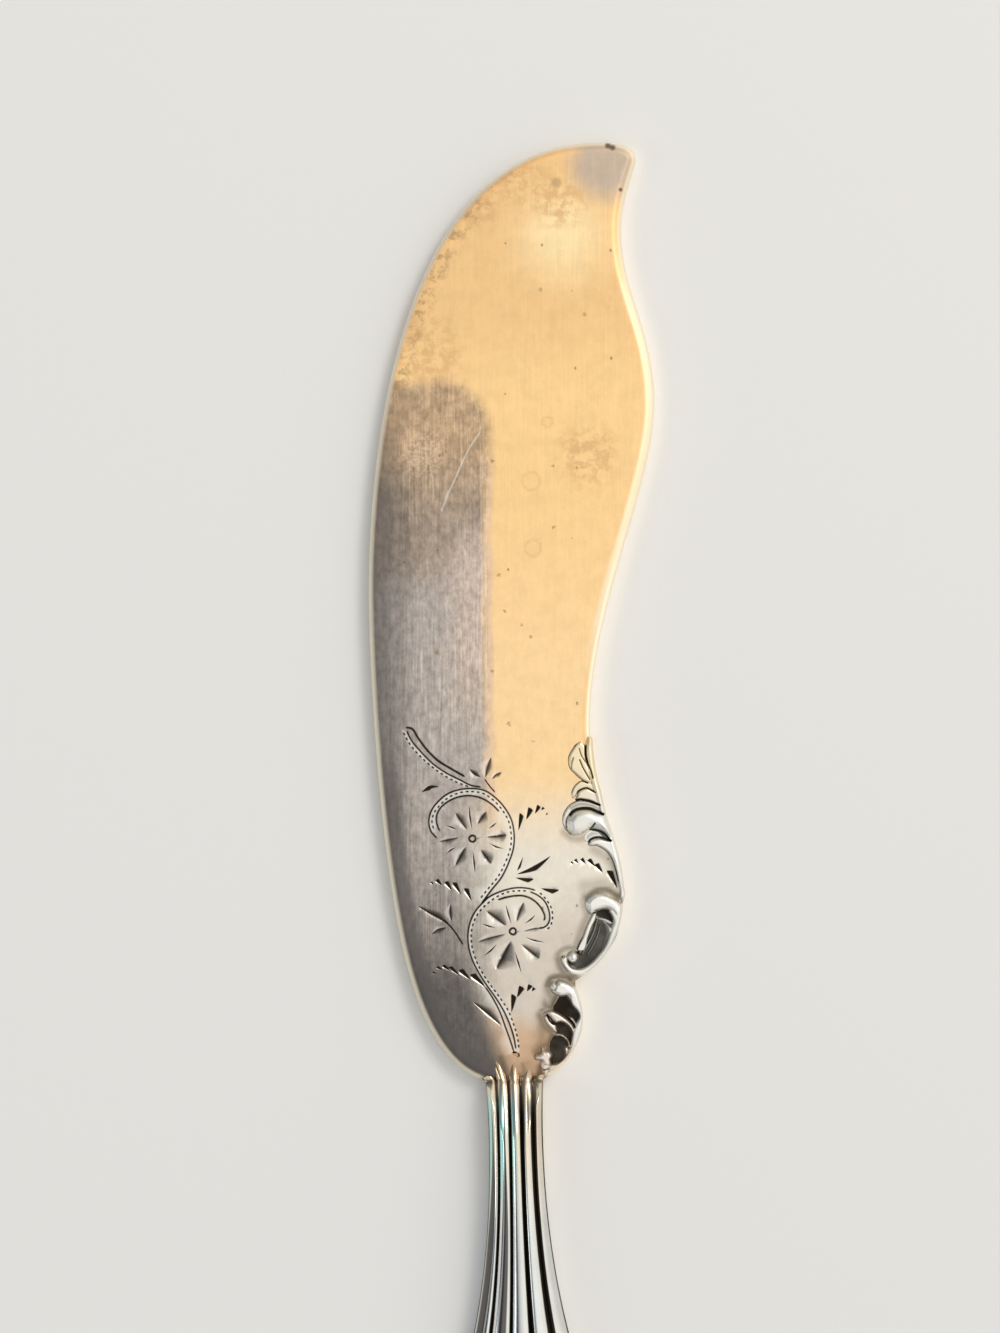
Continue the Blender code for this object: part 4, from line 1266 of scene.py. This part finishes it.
# Where the blade's colours lie, in pixels. A pair is where something starts and where it is full. The sides
# have the rows over which each colour takes over from the one above. Zones have columns, upper rows and lower
# rows.
# The warm side's colours are patina with a painted reflection of a lamp-lit wall
WARM_SIDE = [
    ((300, 400), WARM), ((480, 700), WARM_LOW), ((760, 865), PALE), ((880, 935), PALE_LOW),
    ((1000, 1045), HEEL_TAN), ((1048, 1085), HEEL_BROWN),
]
WARM_CLOUD_SPOT = (562, 235)
WARM_CLOUD_REACH = 72
# Where the painted grey reflection lies, with a lighter patch in it
GREY_SIDE = [((430, 530), GREY), ((545, 610), GREY_LOW)]
GREY_CORNER = (441, 430, 0)
GREY_EDGE = (57, 37)
GREY_SOFT_EDGE = (76, 4)
GREY_SOFT_ROWS = (760, 860)
LIGHT_ZONE = ((425, 482), (500, 570), (760, 660))
# Painted shade in a strip by the left edge and down the grey half's lower rows
STRIP_ZONE = ((422, 398), (440, 500), (900, 800))
STRIP_SHARE = 0.5
DARK_ROWS = (790, 1050)
# A painted warm fringe along the grey reflection's edge
FRINGE_OUTSIDE = (0.02, 0.3)
FRINGE_INSIDE = (0.85, 0.4)
FRINGE_SHARE = 0.7
FRINGE_UPPER = (430, 500)
FRINGE_LOWER = (860, 780)
# Painted shade slanting across the heel
HEEL_SLANT = 0.42
HEEL_SHADOW = (71, 43)
HEEL_SHADOW_ROWS = (940, 1000)
EDGE_UPPER = (380, 440, 0.0, 0.45)
EDGE_LOWER = (740, 800, 0.0, 0.3)
EDGE_COLUMNS = (530, 470)
BROWN_COLUMNS = (560, 440)
BROWN_ROWS = (480, 380)
# The painted highlight along the spine's rim and round the edge, kept off the heel
SPINE_ZONE = ((560, 600), (230, 320), (700, 600))
SPINE_SHARE = 0.6
HEEL_KEPT = 36
HEEL_UNHIGHLIT = 28
RIM_HIGHLIGHT_SHARE = 0.85
TIP_PATCH = (606, 163)
TIP_PATCH_REACH = (20, 50)

# Bands beside the blade's edge, as shares of the reach of its inset attribute
EDGE_BAND = (1.0, 0.5)
BROWN_OUTER = (0.08, 0.2)
BROWN_INNER = (1.0, 0.4)
# The spine band and the rim band carry the painted highlight
SPINE_BAND = (0.42, 0.24)
RIM_HIGHLIGHT_BAND = (0.22, 0.06)
RIM_ROUGHNESS = (0.6, 0.2, 0.0, 0.6)

# Marks: spots with their reach in pixels, and how strong they are
OLD_STAINS = [((588, 455), 46), ((430, 350), 50), ((560, 200), 40), ((520, 180), 40), ((480, 210), 30)]
OLD_STAIN_SHARE = 0.8
ROUND_STAINS = [((557, 183), 8), ((585, 315), 3), ((541, 290), 3)]
ROUND_STAIN_SHARE = 0.6
TIP_CHIPS = [((608.5, 146), 4.5), ((613, 148), 4.5), ((621, 190), 3)]
TIP_CHIP_SHARE = 0.85
PITS = [
    ((554, 527), 2.4), ((499, 575), 2.2), ((505, 611), 2.0), ((522, 625), 1.8), ((531, 637), 2.0),
    ((437, 653), 3.0), ((492, 671), 2.2), ((509, 724), 2.6), ((533, 741), 1.6), ((553, 466), 2.0),
    ((492, 461), 2.4), ((457, 479), 2.0),
]
PIT_SHARE = 0.6
PIT_CORE = 0.4
MARK_CORE = 0.3
TARNISH_RINGS = [((531, 481), 9), ((547.5, 422), 5), ((533, 548), 8)]
TARNISH_RING_WIDTH = 2.5
TARNISH_RING_SHARE = 0.4
CREAM_PATCH = (424, 452)
CREAM_REACH = (10, 34)
CREAM_SHARE = 0.65
PIT_CELL = 34
PIT_CELL_STRETCH = (1, 0.7, 1)
PIT_CHANCE = (0.6, 1.0, 0.0, 0.05)
PIT_EDGE = 0.03

# Noise over the blade's pixels or the other parts' metres: scale, detail, roughness and stretch
CLOUDS = (0.02, 4)
CLOUD_DRIFT = (12, 30, 0)
STREAKS = (1, 4, 0.6, (0.45, 0.014, 0.5))
STREAK_PATCHES = (1, 3, 0.6, (0.03, 0.008, 1))
WORN_STREAKS = (1, 2, 0.5, (0.3, 0.005, 1))
MOTTLE = (0.055, 5, 0.65)
GRAIN = (1, 6, 0.72, (0.16, 0.09, 0.1))
FINE_STREAKS = (1, 3, 0.6, (1.4, 0.02, 1))
EDGE_STAINS = (0.1, 6, 0.75)
CRUMBS = (0.3, 4, 0.7)
PATCHES = (0.09, 6, 0.7)
SPECK_EDGES = (0.3, 2)
CHIP_EDGES = (0.3, 3)
TEAR_SCALE = 0.45
TEAR_DETAIL = 2
TEAR_REACH = 3
UNEVEN = (500, 3)
SILVER_CLOUDS = (160, 4)
CEMENT_GRAIN = (900, 6, 0.7)

# What noise does: the values between which it acts, and the factors or shares that it goes from and to
STREAK_WEAK = (0.3, 0.7, 0.93, 1.06)
STREAK_STRONG = (0.3, 0.7, 0.76, 1.24)
STREAK_FAINT = (0.3, 0.7, 0.975, 1.02)
STREAK_PATCHY = (0.35, 0.65)
STREAK_WORN = (0.6, 0.75, 1.0, 1.2)
STREAK_ROUGHNESS = (0.3, 0.7, 0.24, 0.36)
MOTTLE_WEAK = (0.35, 0.7, 1.02, 0.95)
MOTTLE_STRONG = (0.35, 0.65, 1.16, 0.86)
MOTTLE_ROWS = (600, 440)
GRAIN_WEAK = (0.3, 0.7, 0.975, 1.02)
GRAIN_STRONG = (0.3, 0.7, 0.74, 1.24)
EDGE_STAINS_SEEN = (0.46, 0.6)
EDGE_STAINS_SHARE = 0.7
CRUMBS_SEEN = (0.44, 0.62)
PATCHES_SEEN = (0.42, 0.6)
UNEVEN_TARNISH_AND_SHADE = (0.3, 0.7, 0.94, 1.06)
FULL_TARNISH_AND_SHADE = 0.85
TARNISH_AND_SHADE_ROUGHNESS = 0.6
SILVER_CLOUDING = (0.4, 0.7, 1.0, 0.88)
SILVER_WARMTH = 0.97
SCRATCHES_SEEN = (0.35, 0.7)

# Finishes: the stretch of fine scratches and the range of roughness. Bumps: strength and height in metres
SCROLL_FINISH = ((300, 300, 300), 0.36, 0.46)
HANDLE_FINISH = ((900, 30, 900), 0.14, 0.24)
SCRATCH_NOISE = (1, 4, 0.65)
BLADE_BUMP = (0.12, 0.00002)
SILVER_BUMP = (0.1, 0.00003)
CEMENT_BUMP = (0.5, 0.0002)
CEMENT_ROUGHNESS = 0.9
CREAM_LEAF_ROWS = (770, 825)
PEACH_ROWS = (1000, 1014)
PEACH_COLUMNS = (577, 569)
PEACH_SHARE = 0.75
GRIP_ROWS = (1120, 1240)
AMBER_ROWS = (1094, 1064)


class Nodes:
    """A node tree, with short ways to add the nodes that are used here."""

    def __init__(self, tree):
        self.tree = tree

    def add(self, kind, inputs=None, **settings):
        node = self.tree.nodes.new(kind)
        for key, value in settings.items():
            setattr(node, key, value)
        for key, value in (inputs or {}).items():
            if isinstance(value, bpy.types.NodeSocket):
                self.tree.links.new(value, node.inputs[key])
            else:
                node.inputs[key].default_value = value
        return node

    def attribute(self, name):
        return self.add("ShaderNodeAttribute", attribute_name=name).outputs["Fac"]

    def object_place(self):
        return self.add("ShaderNodeTexCoord").outputs["Object"]

    def split(self, vector):
        return self.add("ShaderNodeSeparateXYZ", {0: vector}).outputs

    def ramp(self, value, low, high, start=0.0, end=1.0):
        """Goes smoothly from start to end as the value goes from low to high."""
        limits = {"Value": value, "From Min": low, "From Max": high, "To Min": start, "To Max": end}
        return self.add("ShaderNodeMapRange", limits, interpolation_type="SMOOTHSTEP").outputs[0]

    def maths(self, operation, a, b):
        return self.add("ShaderNodeMath", {0: a, 1: b}, operation=operation).outputs[0]

    def product(self, *factors):
        result = factors[0]
        for factor in factors[1:]:
            result = self.maths("MULTIPLY", result, factor)
        return result

    def vector(self, operation, a, b, output=0):
        return self.add("ShaderNodeVectorMath", {0: a, 1: b}, operation=operation).outputs[output]

    def blend(self, share, a, b):
        """A number between two others."""
        return self.add("ShaderNodeMix", {0: share, 2: a, 3: b}).outputs[0]

    def tint(self, share, a, b, how="MIX"):
        """A colour between two others, or one with the other laid over it in another way."""
        inputs = {0: share, 6: a, 7: b}
        return self.add("ShaderNodeMix", inputs, data_type="RGBA", blend_type=how).outputs[2]

    def times(self, colour, red, green, blue):
        """The colour with its channels multiplied."""
        factors = self.add("ShaderNodeCombineColor", {0: red, 1: green, 2: blue}).outputs[0]
        return self.tint(1.0, colour, factors, "MULTIPLY")

    def noise(self, place, scale, detail=3.0, roughness=0.55, stretch=(1, 1, 1)):
        spread = self.vector("MULTIPLY", place, stretch)
        inputs = {"Vector": spread, "Scale": scale, "Detail": detail, "Roughness": roughness}
        return self.add("ShaderNodeTexNoise", inputs).outputs["Fac"]

    def near(self, place, spot, inner, outer):
        """1 within the inner radius of a spot in the photograph, falling to 0 at the outer one."""
        flat = self.vector("MULTIPLY", place, (1, 1, 0))
        return self.ramp(self.vector("DISTANCE", flat, (*spot, 0), "Value"), outer, inner)

    def bump(self, shader, height, strength, distance):
        inputs = {"Height": height, "Strength": strength, "Distance": distance}
        self.tree.links.new(self.add("ShaderNodeBump", inputs).outputs[0], shader.inputs["Normal"])


def new_material(name):
    material = bpy.data.materials.new(name)
    material.use_nodes = True
    tree = material.node_tree
    return material, Nodes(tree), tree.nodes["Principled BSDF"]


def photo_place(nodes):
    """Where a point of the blade lies in the photograph, in pixels."""
    across = math.cos(ROLL) * AXIS_X - math.sin(ROLL) * HEEL_Y
    along = math.sin(ROLL) * AXIS_X + math.cos(ROLL) * HEEL_Y
    inputs = {
        "Vector": nodes.object_place(),
        "Location": (HEEL_PX[0] - across / PX, HEEL_PX[1] + along / PX, 0),
        "Rotation": (0, 0, -ROLL),
        "Scale": (1 / (PX * MM), -1 / (PX * MM), 1 / (PX * MM)),
    }
    return nodes.add("ShaderNodeMapping", inputs, vector_type="POINT").outputs[0]


def add_tarnish_and_shade(nodes, shader, colour, roughness):
    """Darkens the colour and dulls the finish where the attribute for tarnish and painted shade says."""
    uneven = nodes.ramp(nodes.noise(nodes.object_place(), *UNEVEN), *UNEVEN_TARNISH_AND_SHADE)
    stain = nodes.ramp(nodes.product(nodes.attribute("tarnish"), uneven), 0.0, FULL_TARNISH_AND_SHADE)
    nodes.tree.links.new(nodes.tint(stain, colour, TARNISH_AND_SHADE), shader.inputs["Base Color"])
    dull = nodes.maths("MAXIMUM", roughness, nodes.product(stain, TARNISH_AND_SHADE_ROUGHNESS))
    nodes.tree.links.new(dull, shader.inputs["Roughness"])


def down_rows(nodes, y, colour, changes):
    """A colour that gives way to others down the photograph's rows."""
    for rows, lower in changes:
        colour = nodes.tint(nodes.ramp(y, *rows), colour, lower)
    return colour


def zone(nodes, x, y, columns, upper_rows, lower_rows):
    """Share of a zone that fades in over some columns and rows and out over later rows."""
    return nodes.product(nodes.ramp(x, *columns), nodes.ramp(y, *upper_rows), nodes.ramp(y, *lower_rows))


def grey_reflection_share(nodes, place, y):
    """Share of the brushed grey half, a painted reflection: round at its upper end, soft at its lower one."""
    corner = nodes.vector("SUBTRACT", place, GREY_CORNER)
    corner = nodes.vector("MULTIPLY", corner, (1, -1, 0))
    corner = nodes.vector("MAXIMUM", corner, (0, 0, 0))
    far = nodes.vector("LENGTH", corner, (0, 0, 0), "Value")
    upper, lower = nodes.ramp(far, *GREY_EDGE), nodes.ramp(far, *GREY_SOFT_EDGE)
    return nodes.blend(nodes.ramp(y, *GREY_SOFT_ROWS), upper, lower)


def patina_and_painted_light(nodes, place, x, y):
    """Plate colour before wear and dirt, with painted reflections and shade, and the grey half's share."""
    # The warm side is patina with a painted reflection of a lamp-lit wall
    warm = down_rows(nodes, y, WARM_TOP, WARM_SIDE)
    warm = nodes.tint(nodes.near(place, WARM_CLOUD_SPOT, 0, WARM_CLOUD_REACH), warm, WARM_CLOUD)
    # The cold side is a painted reflection of a dark object, with a lighter patch in it
    cold = down_rows(nodes, y, GREY_TOP, GREY_SIDE)
    cold = nodes.tint(zone(nodes, x, y, *LIGHT_ZONE), cold, GREY_LIGHT)
    # Painted shade in a strip by the left edge and low on the grey side
    cold = nodes.tint(nodes.product(zone(nodes, x, y, *STRIP_ZONE), STRIP_SHARE), cold, DARK)
    cold = nodes.tint(nodes.ramp(y, *DARK_ROWS), cold, DARK)
    grey = grey_reflection_share(nodes, place, y)
    colour = nodes.tint(grey, warm, cold)
    # A painted warm fringe along the grey reflection's edge
    fringe = nodes.product(nodes.ramp(grey, *FRINGE_OUTSIDE), nodes.ramp(grey, *FRINGE_INSIDE), FRINGE_SHARE)
    fringe = nodes.product(fringe, nodes.ramp(y, *FRINGE_UPPER), nodes.ramp(y, *FRINGE_LOWER))
    colour = nodes.tint(fringe, colour, FRINGE)
    # Painted shade slanting across the heel
    slant = nodes.maths("SUBTRACT", x, nodes.product(y, HEEL_SLANT))
    shadow = nodes.product(nodes.ramp(slant, *HEEL_SHADOW), nodes.ramp(y, *HEEL_SHADOW_ROWS))
    return nodes.tint(shadow, colour, DARK), grey


def dark_edge(nodes, colour, x, y):
    """A dark band inside the belly's edge, stronger towards the heel."""
    strength = nodes.maths("ADD", nodes.ramp(y, *EDGE_UPPER), nodes.ramp(y, *EDGE_LOWER))
    band = nodes.product(nodes.ramp(nodes.attribute("inset"), *EDGE_BAND), nodes.ramp(x, *EDGE_COLUMNS))
    return nodes.tint(nodes.product(band, strength), colour, EDGE_DARK)


def stained_and_highlit_edge(nodes, colour, place, x, y):
    """Brown stains inside the upper left edge, and a painted highlight along the rim."""
    inset = nodes.attribute("inset")
    brown = nodes.product(nodes.ramp(inset, *BROWN_OUTER), nodes.ramp(inset, *BROWN_INNER))
    brown = nodes.product(brown, nodes.ramp(x, *BROWN_COLUMNS), nodes.ramp(y, *BROWN_ROWS))
    stains = nodes.ramp(nodes.noise(place, *EDGE_STAINS), *EDGE_STAINS_SEEN)
    colour = nodes.tint(nodes.product(brown, stains, EDGE_STAINS_SHARE), colour, EDGE_BROWN)
    # A painted highlight along the spine's rim and round the edge, away from the heel
    spine = nodes.product(nodes.ramp(inset, *SPINE_BAND), zone(nodes, x, y, *SPINE_ZONE), SPINE_SHARE)
    colour = nodes.tint(spine, colour, RIM_HIGHLIGHT)
    off_heel = nodes.near(place, HEEL_PX, HEEL_KEPT, HEEL_UNHIGHLIT)
    rim_highlight = nodes.product(nodes.ramp(inset, *RIM_HIGHLIGHT_BAND), off_heel, RIM_HIGHLIGHT_SHARE)
    return nodes.tint(rim_highlight, colour, RIM_HIGHLIGHT)


def specks(nodes, colour, ragged):
    """Small dark pits here and there."""
    inputs = {"Vector": nodes.vector("MULTIPLY", ragged, PIT_CELL_STRETCH), "Scale": 1 / PIT_CELL}
    cells = nodes.add("ShaderNodeTexVoronoi", inputs, voronoi_dimensions="2D").outputs
    chance = nodes.add("ShaderNodeSeparateColor", {0: cells["Color"]}).outputs[0]
    size = nodes.ramp(chance, *PIT_CHANCE)
    pit = nodes.ramp(nodes.maths("SUBTRACT", size, cells["Distance"]), 0.0, PIT_EDGE)
    return nodes.tint(nodes.product(pit, PIT_SHARE), colour, PIT)


def spots(nodes, colour, place, marks, core, share, stain):
    """Lays a stain on each mark: whole within a core of its reach, and gone at the end of it."""
    for spot, reach in marks:
        near = nodes.near(place, spot, core * reach, reach)
        colour = nodes.tint(nodes.product(near, share), colour, stain)
    return colour


def old_marks(nodes, colour, place, ragged):
    """A cream patch, old stains, pits and tarnish rings where the photograph has them."""
    crumbs = nodes.ramp(nodes.noise(place, *CRUMBS), *CRUMBS_SEEN)
    cream = nodes.product(nodes.near(place, CREAM_PATCH, *CREAM_REACH), crumbs, CREAM_SHARE)
    colour = nodes.tint(cream, colour, CREAM)
    patches = nodes.ramp(nodes.noise(place, *PATCHES), *PATCHES_SEEN)
    share = nodes.product(patches, OLD_STAIN_SHARE)
    colour = spots(nodes, colour, place, OLD_STAINS, MARK_CORE, share, STAIN)
    tears = {"Vector": place, "Scale": TEAR_SCALE, "Detail": TEAR_DETAIL}
    tears = nodes.add("ShaderNodeTexNoise", tears).outputs["Color"]
    tears = nodes.vector("MULTIPLY", tears, (2 * TEAR_REACH, 2 * TEAR_REACH, 0))
    torn = nodes.vector("SUBTRACT", nodes.vector("ADD", place, tears), (TEAR_REACH, TEAR_REACH, 0))
    colour = spots(nodes, colour, torn, PITS, PIT_CORE, PIT_SHARE, PIT_BROWN)
    for spot, radius in TARNISH_RINGS:
        outside = nodes.near(torn, spot, radius, radius + TARNISH_RING_WIDTH)
        inside = nodes.near(torn, spot, radius, radius - TARNISH_RING_WIDTH)
        colour = nodes.tint(nodes.product(outside, inside, TARNISH_RING_SHARE), colour, STAIN)
    return spots(nodes, colour, ragged, ROUND_STAINS, MARK_CORE, ROUND_STAIN_SHARE, EDGE_BROWN)


def brushing(nodes, place, y, grey, streaks):
    """Factor for brushed streaks, blotches and grain, strong on the grey half and faint beside it."""
    patchy = nodes.ramp(nodes.noise(place, *STREAK_PATCHES), *STREAK_PATCHY)
    strong = nodes.blend(patchy, nodes.ramp(streaks, *STREAK_WEAK), nodes.ramp(streaks, *STREAK_STRONG))
    strong = nodes.product(strong, nodes.ramp(nodes.noise(place, *WORN_STREAKS), *STREAK_WORN))
    streak = nodes.blend(grey, nodes.ramp(streaks, *STREAK_FAINT), strong)
    mottle = nodes.noise(place, *MOTTLE)
    upper_grey = nodes.product(grey, nodes.ramp(y, *MOTTLE_ROWS))
    blotch = nodes.blend(upper_grey, nodes.ramp(mottle, *MOTTLE_WEAK), nodes.ramp(mottle, *MOTTLE_STRONG))
    grain = nodes.noise(place, *GRAIN)
    grain = nodes.blend(grey, nodes.ramp(grain, *GRAIN_WEAK), nodes.ramp(grain, *GRAIN_STRONG))
    return nodes.product(streak, blotch, grain)


def blade_plate():
    material, nodes, shader = new_material("blade_plate_wear_and_painted_light")
    place = photo_place(nodes)
    wander = nodes.maths("SUBTRACT", nodes.noise(place, *CLOUDS), 0.5)
    drifted = nodes.vector("ADD", place, nodes.vector("MULTIPLY", wander, CLOUD_DRIFT))
    x, y, _ = nodes.split(drifted)
    colour, grey = patina_and_painted_light(nodes, drifted, x, y)
    colour = nodes.tint(nodes.near(drifted, TIP_PATCH, *TIP_PATCH_REACH), colour, TIP_GREY)
    streaks = nodes.noise(place, *STREAKS)
    factor = brushing(nodes, place, y, grey, streaks)
    colour = nodes.times(colour, factor, factor, factor)
    ragged = nodes.vector("ADD", place, nodes.noise(place, *SPECK_EDGES))
    colour = specks(nodes, colour, ragged)
    colour = old_marks(nodes, colour, place, ragged)
    colour = dark_edge(nodes, colour, x, y)
    colour = stained_and_highlit_edge(nodes, colour, place, x, y)
    chipped = nodes.vector("ADD", place, nodes.noise(place, *CHIP_EDGES))
    colour = spots(nodes, colour, chipped, TIP_CHIPS, MARK_CORE, TIP_CHIP_SHARE, PIT)
    # Painted shade, with dirt, beside the scrolls and between the reed tips
    colour = nodes.tint(nodes.attribute("shade"), colour, DIRT_AND_SHADE)
    # Pale polished bands, and painted highlights on bright facets and scratches
    colour = nodes.tint(nodes.attribute("bright"), colour, POLISH_AND_HIGHLIGHT)
    rim = nodes.ramp(nodes.attribute("inset"), *RIM_ROUGHNESS)
    add_tarnish_and_shade(nodes, shader, colour, nodes.maths("MAXIMUM", nodes.ramp(streaks, *STREAK_ROUGHNESS), rim))
    shader.inputs["Metallic"].default_value = 1.0
    nodes.bump(shader, nodes.noise(place, *FINE_STREAKS), *BLADE_BUMP)
    return material


def finish_silver(nodes, shader, colour, stretch, low_roughness, high_roughness):
    """Soft cloudy patches, fine scratches along one way, and tarnish in the hollows."""
    place = nodes.object_place()
    cloud = nodes.ramp(nodes.noise(place, *SILVER_CLOUDS), *SILVER_CLOUDING)
    colour = nodes.times(colour, cloud, cloud, nodes.product(cloud, SILVER_WARMTH))
    scratches = nodes.noise(place, *SCRATCH_NOISE, stretch)
    roughness = nodes.ramp(scratches, *SCRATCHES_SEEN, low_roughness, high_roughness)
    add_tarnish_and_shade(nodes, shader, colour, roughness)
    shader.inputs["Metallic"].default_value = 1.0
    nodes.bump(shader, scratches, *SILVER_BUMP)


def scroll_silver():
    material, nodes, shader = new_material("cast_scroll_silver")
    x, y, _ = nodes.split(photo_place(nodes))
    colour = nodes.tint(nodes.ramp(y, *CREAM_LEAF_ROWS), LEAF_CREAM, SCROLL_WHITE)
    peach = nodes.product(nodes.ramp(y, *PEACH_ROWS), nodes.ramp(x, *PEACH_COLUMNS), PEACH_SHARE)
    colour = nodes.tint(peach, colour, SCROLL_PEACH)
    finish_silver(nodes, shader, colour, *SCROLL_FINISH)
    return material


def handle_plate():
    material, nodes, shader = new_material("reeded_handle_plate")
    y = nodes.split(photo_place(nodes))[1]
    colour = nodes.tint(nodes.ramp(y, *GRIP_ROWS), NECK_CREAM, GRIP_SILVER)
    # Painted cool and grey reflections on the left reeds
    colour = nodes.tint(nodes.attribute("cool"), colour, NECK_COOL_REFLECTION)
    colour = nodes.tint(nodes.attribute("grey"), colour, HANDLE_GREY_REFLECTION)
    colour = nodes.tint(nodes.ramp(y, *AMBER_ROWS), colour, TIP_AMBER)
    finish_silver(nodes, shader, colour, *HANDLE_FINISH)
    return material


def cement():
    material, nodes, shader = new_material("handle_cement")
    grain = nodes.noise(nodes.object_place(), *CEMENT_GRAIN)
    nodes.tree.links.new(nodes.tint(grain, CEMENT_DARK, CEMENT_LIGHT), shader.inputs["Base Color"])
    shader.inputs["Roughness"].default_value = CEMENT_ROUGHNESS
    nodes.bump(shader, grain, *CEMENT_BUMP)
    return material


# Stage. Lamps have the azimuth and elevation that they shine from, distance, size, radiance and colour
LAMPS = {
    "key": ((40, 50), 0.8, 0.3, 6.0, (1.0, 0.96, 0.9)),
    "fill": ((190, 32), 0.8, 0.25, 2.5, (0.88, 0.95, 1.0)),
}
CAMERA_HEIGHT = 320.0
SENSOR = 36.0
ROOM_TOP = (1.0, 1.0, 1.0, 1)
ROOM_RIGHT = (0.98, 0.94, 0.87, 1)
ROOM_LEFT = (0.24, 0.26, 0.29, 1)
ROOM_LOW = (0.85, 0.85, 0.85, 1)
ROOM_TILT = math.radians(14)
ROOM_UP = (math.sin(ROOM_TILT), 0, math.cos(ROOM_TILT))
ROOM_SIDES = (-0.45, 0.35)
ROOM_LOW_EDGE = (0.3, 0.05)
ROOM_TOP_EDGE = (0.72, 0.9)
FLOOR_REACH = 3.0
FLOOR_COLOUR = (0.82, 0.81, 0.79, 1)
FLOOR_ROUGHNESS = 0.75


def add_camera():
    data = bpy.data.cameras.new("camera")
    data.sensor_width = SENSOR
    data.lens = SENSOR * (CAMERA_HEIGHT - FACE_Z) / (PHOTO_HEIGHT * PX)
    camera = bpy.data.objects.new("camera", data)
    middle = from_photo([(PHOTO_WIDTH / 2, PHOTO_HEIGHT / 2)])[0]
    camera.location = (middle[0] * MM, middle[1] * MM, CAMERA_HEIGHT * MM)
    camera.rotation_euler = (0, 0, -ROLL)
    bpy.context.collection.objects.link(camera)
    bpy.context.scene.camera = camera


def add_floor():
    mesh = bpy.data.meshes.new("floor")
    corners = [(FLOOR_REACH * x, FLOOR_REACH * y, 0) for x, y in ((-1, -1), (1, -1), (1, 1), (-1, 1))]
    mesh.from_pydata(corners, [], [(0, 1, 2, 3)])
    material, _, shader = new_material("pale_floor")
    shader.inputs["Base Color"].default_value = FLOOR_COLOUR
    shader.inputs["Roughness"].default_value = FLOOR_ROUGHNESS
    mesh.materials.append(material)
    floor = bpy.data.objects.new("floor", mesh)
    bpy.context.collection.objects.link(floor)


def add_softbox(name, direction, distance, size, radiance, colour):
    """A square soft light of the given brightness, turned to the blade's middle."""
    data = bpy.data.lights.new(name, "AREA")
    data.size = size
    data.energy = radiance * math.pi * size * size
    data.color = colour
    lamp = bpy.data.objects.new(name, data)
    middle = bpy.context.scene.camera.location.copy()
    middle.z = 0
    azimuth, elevation = map(math.radians, direction)
    lamp.location = middle
    lamp.location.x += distance * math.cos(elevation) * math.cos(azimuth)
    lamp.location.y += distance * math.cos(elevation) * math.sin(azimuth)
    lamp.location.z += distance * math.sin(elevation)
    lamp.rotation_euler = (lamp.location - middle).to_track_quat("Z", "Y").to_euler()
    bpy.context.collection.objects.link(lamp)


def add_world():
    """A pale room: bright overhead and to the right, dim to the left, so that plate shows its shape."""
    world = bpy.data.worlds.new("studio")
    world.use_nodes = True
    nodes = Nodes(world.node_tree)
    way = nodes.add("ShaderNodeTexCoord").outputs["Generated"]
    right, _, height = nodes.split(way)
    overhead = nodes.vector("DOT_PRODUCT", way, ROOM_UP, "Value")
    colour = nodes.tint(nodes.ramp(right, *ROOM_SIDES), ROOM_LEFT, ROOM_RIGHT)
    colour = nodes.tint(nodes.ramp(height, *ROOM_LOW_EDGE), colour, ROOM_LOW)
    colour = nodes.tint(nodes.ramp(overhead, *ROOM_TOP_EDGE), colour, ROOM_TOP)
    nodes.tree.links.new(colour, nodes.tree.nodes["Background"].inputs["Color"])
    bpy.context.scene.world = world


add_camera()
add_floor()
add_world()
for lamp_name, lamp_values in LAMPS.items():
    add_softbox(lamp_name, *lamp_values)
bpy.context.scene.view_settings.view_transform = "Standard"

blade(blade_plate())
cast_silver = scroll_silver()
scroll("spine_leaf_scroll", "spine_leaf_mount", cast_silver)
scroll("c_scroll", "c_scroll_mount", cast_silver)
scroll("heel_scroll", "heel_scroll_mount", cast_silver)
handle_silver = handle_plate()
shell("reeded_front_shell", "handle_front_shell", *front_shell_grids(), reed_finish(), handle_silver)
shell("smooth_back_shell", "handle_back_shell", *back_shell_grids(), {}, handle_silver)
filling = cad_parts["handle_filling"]
filling.data.materials.clear()
filling.data.materials.append(cement())
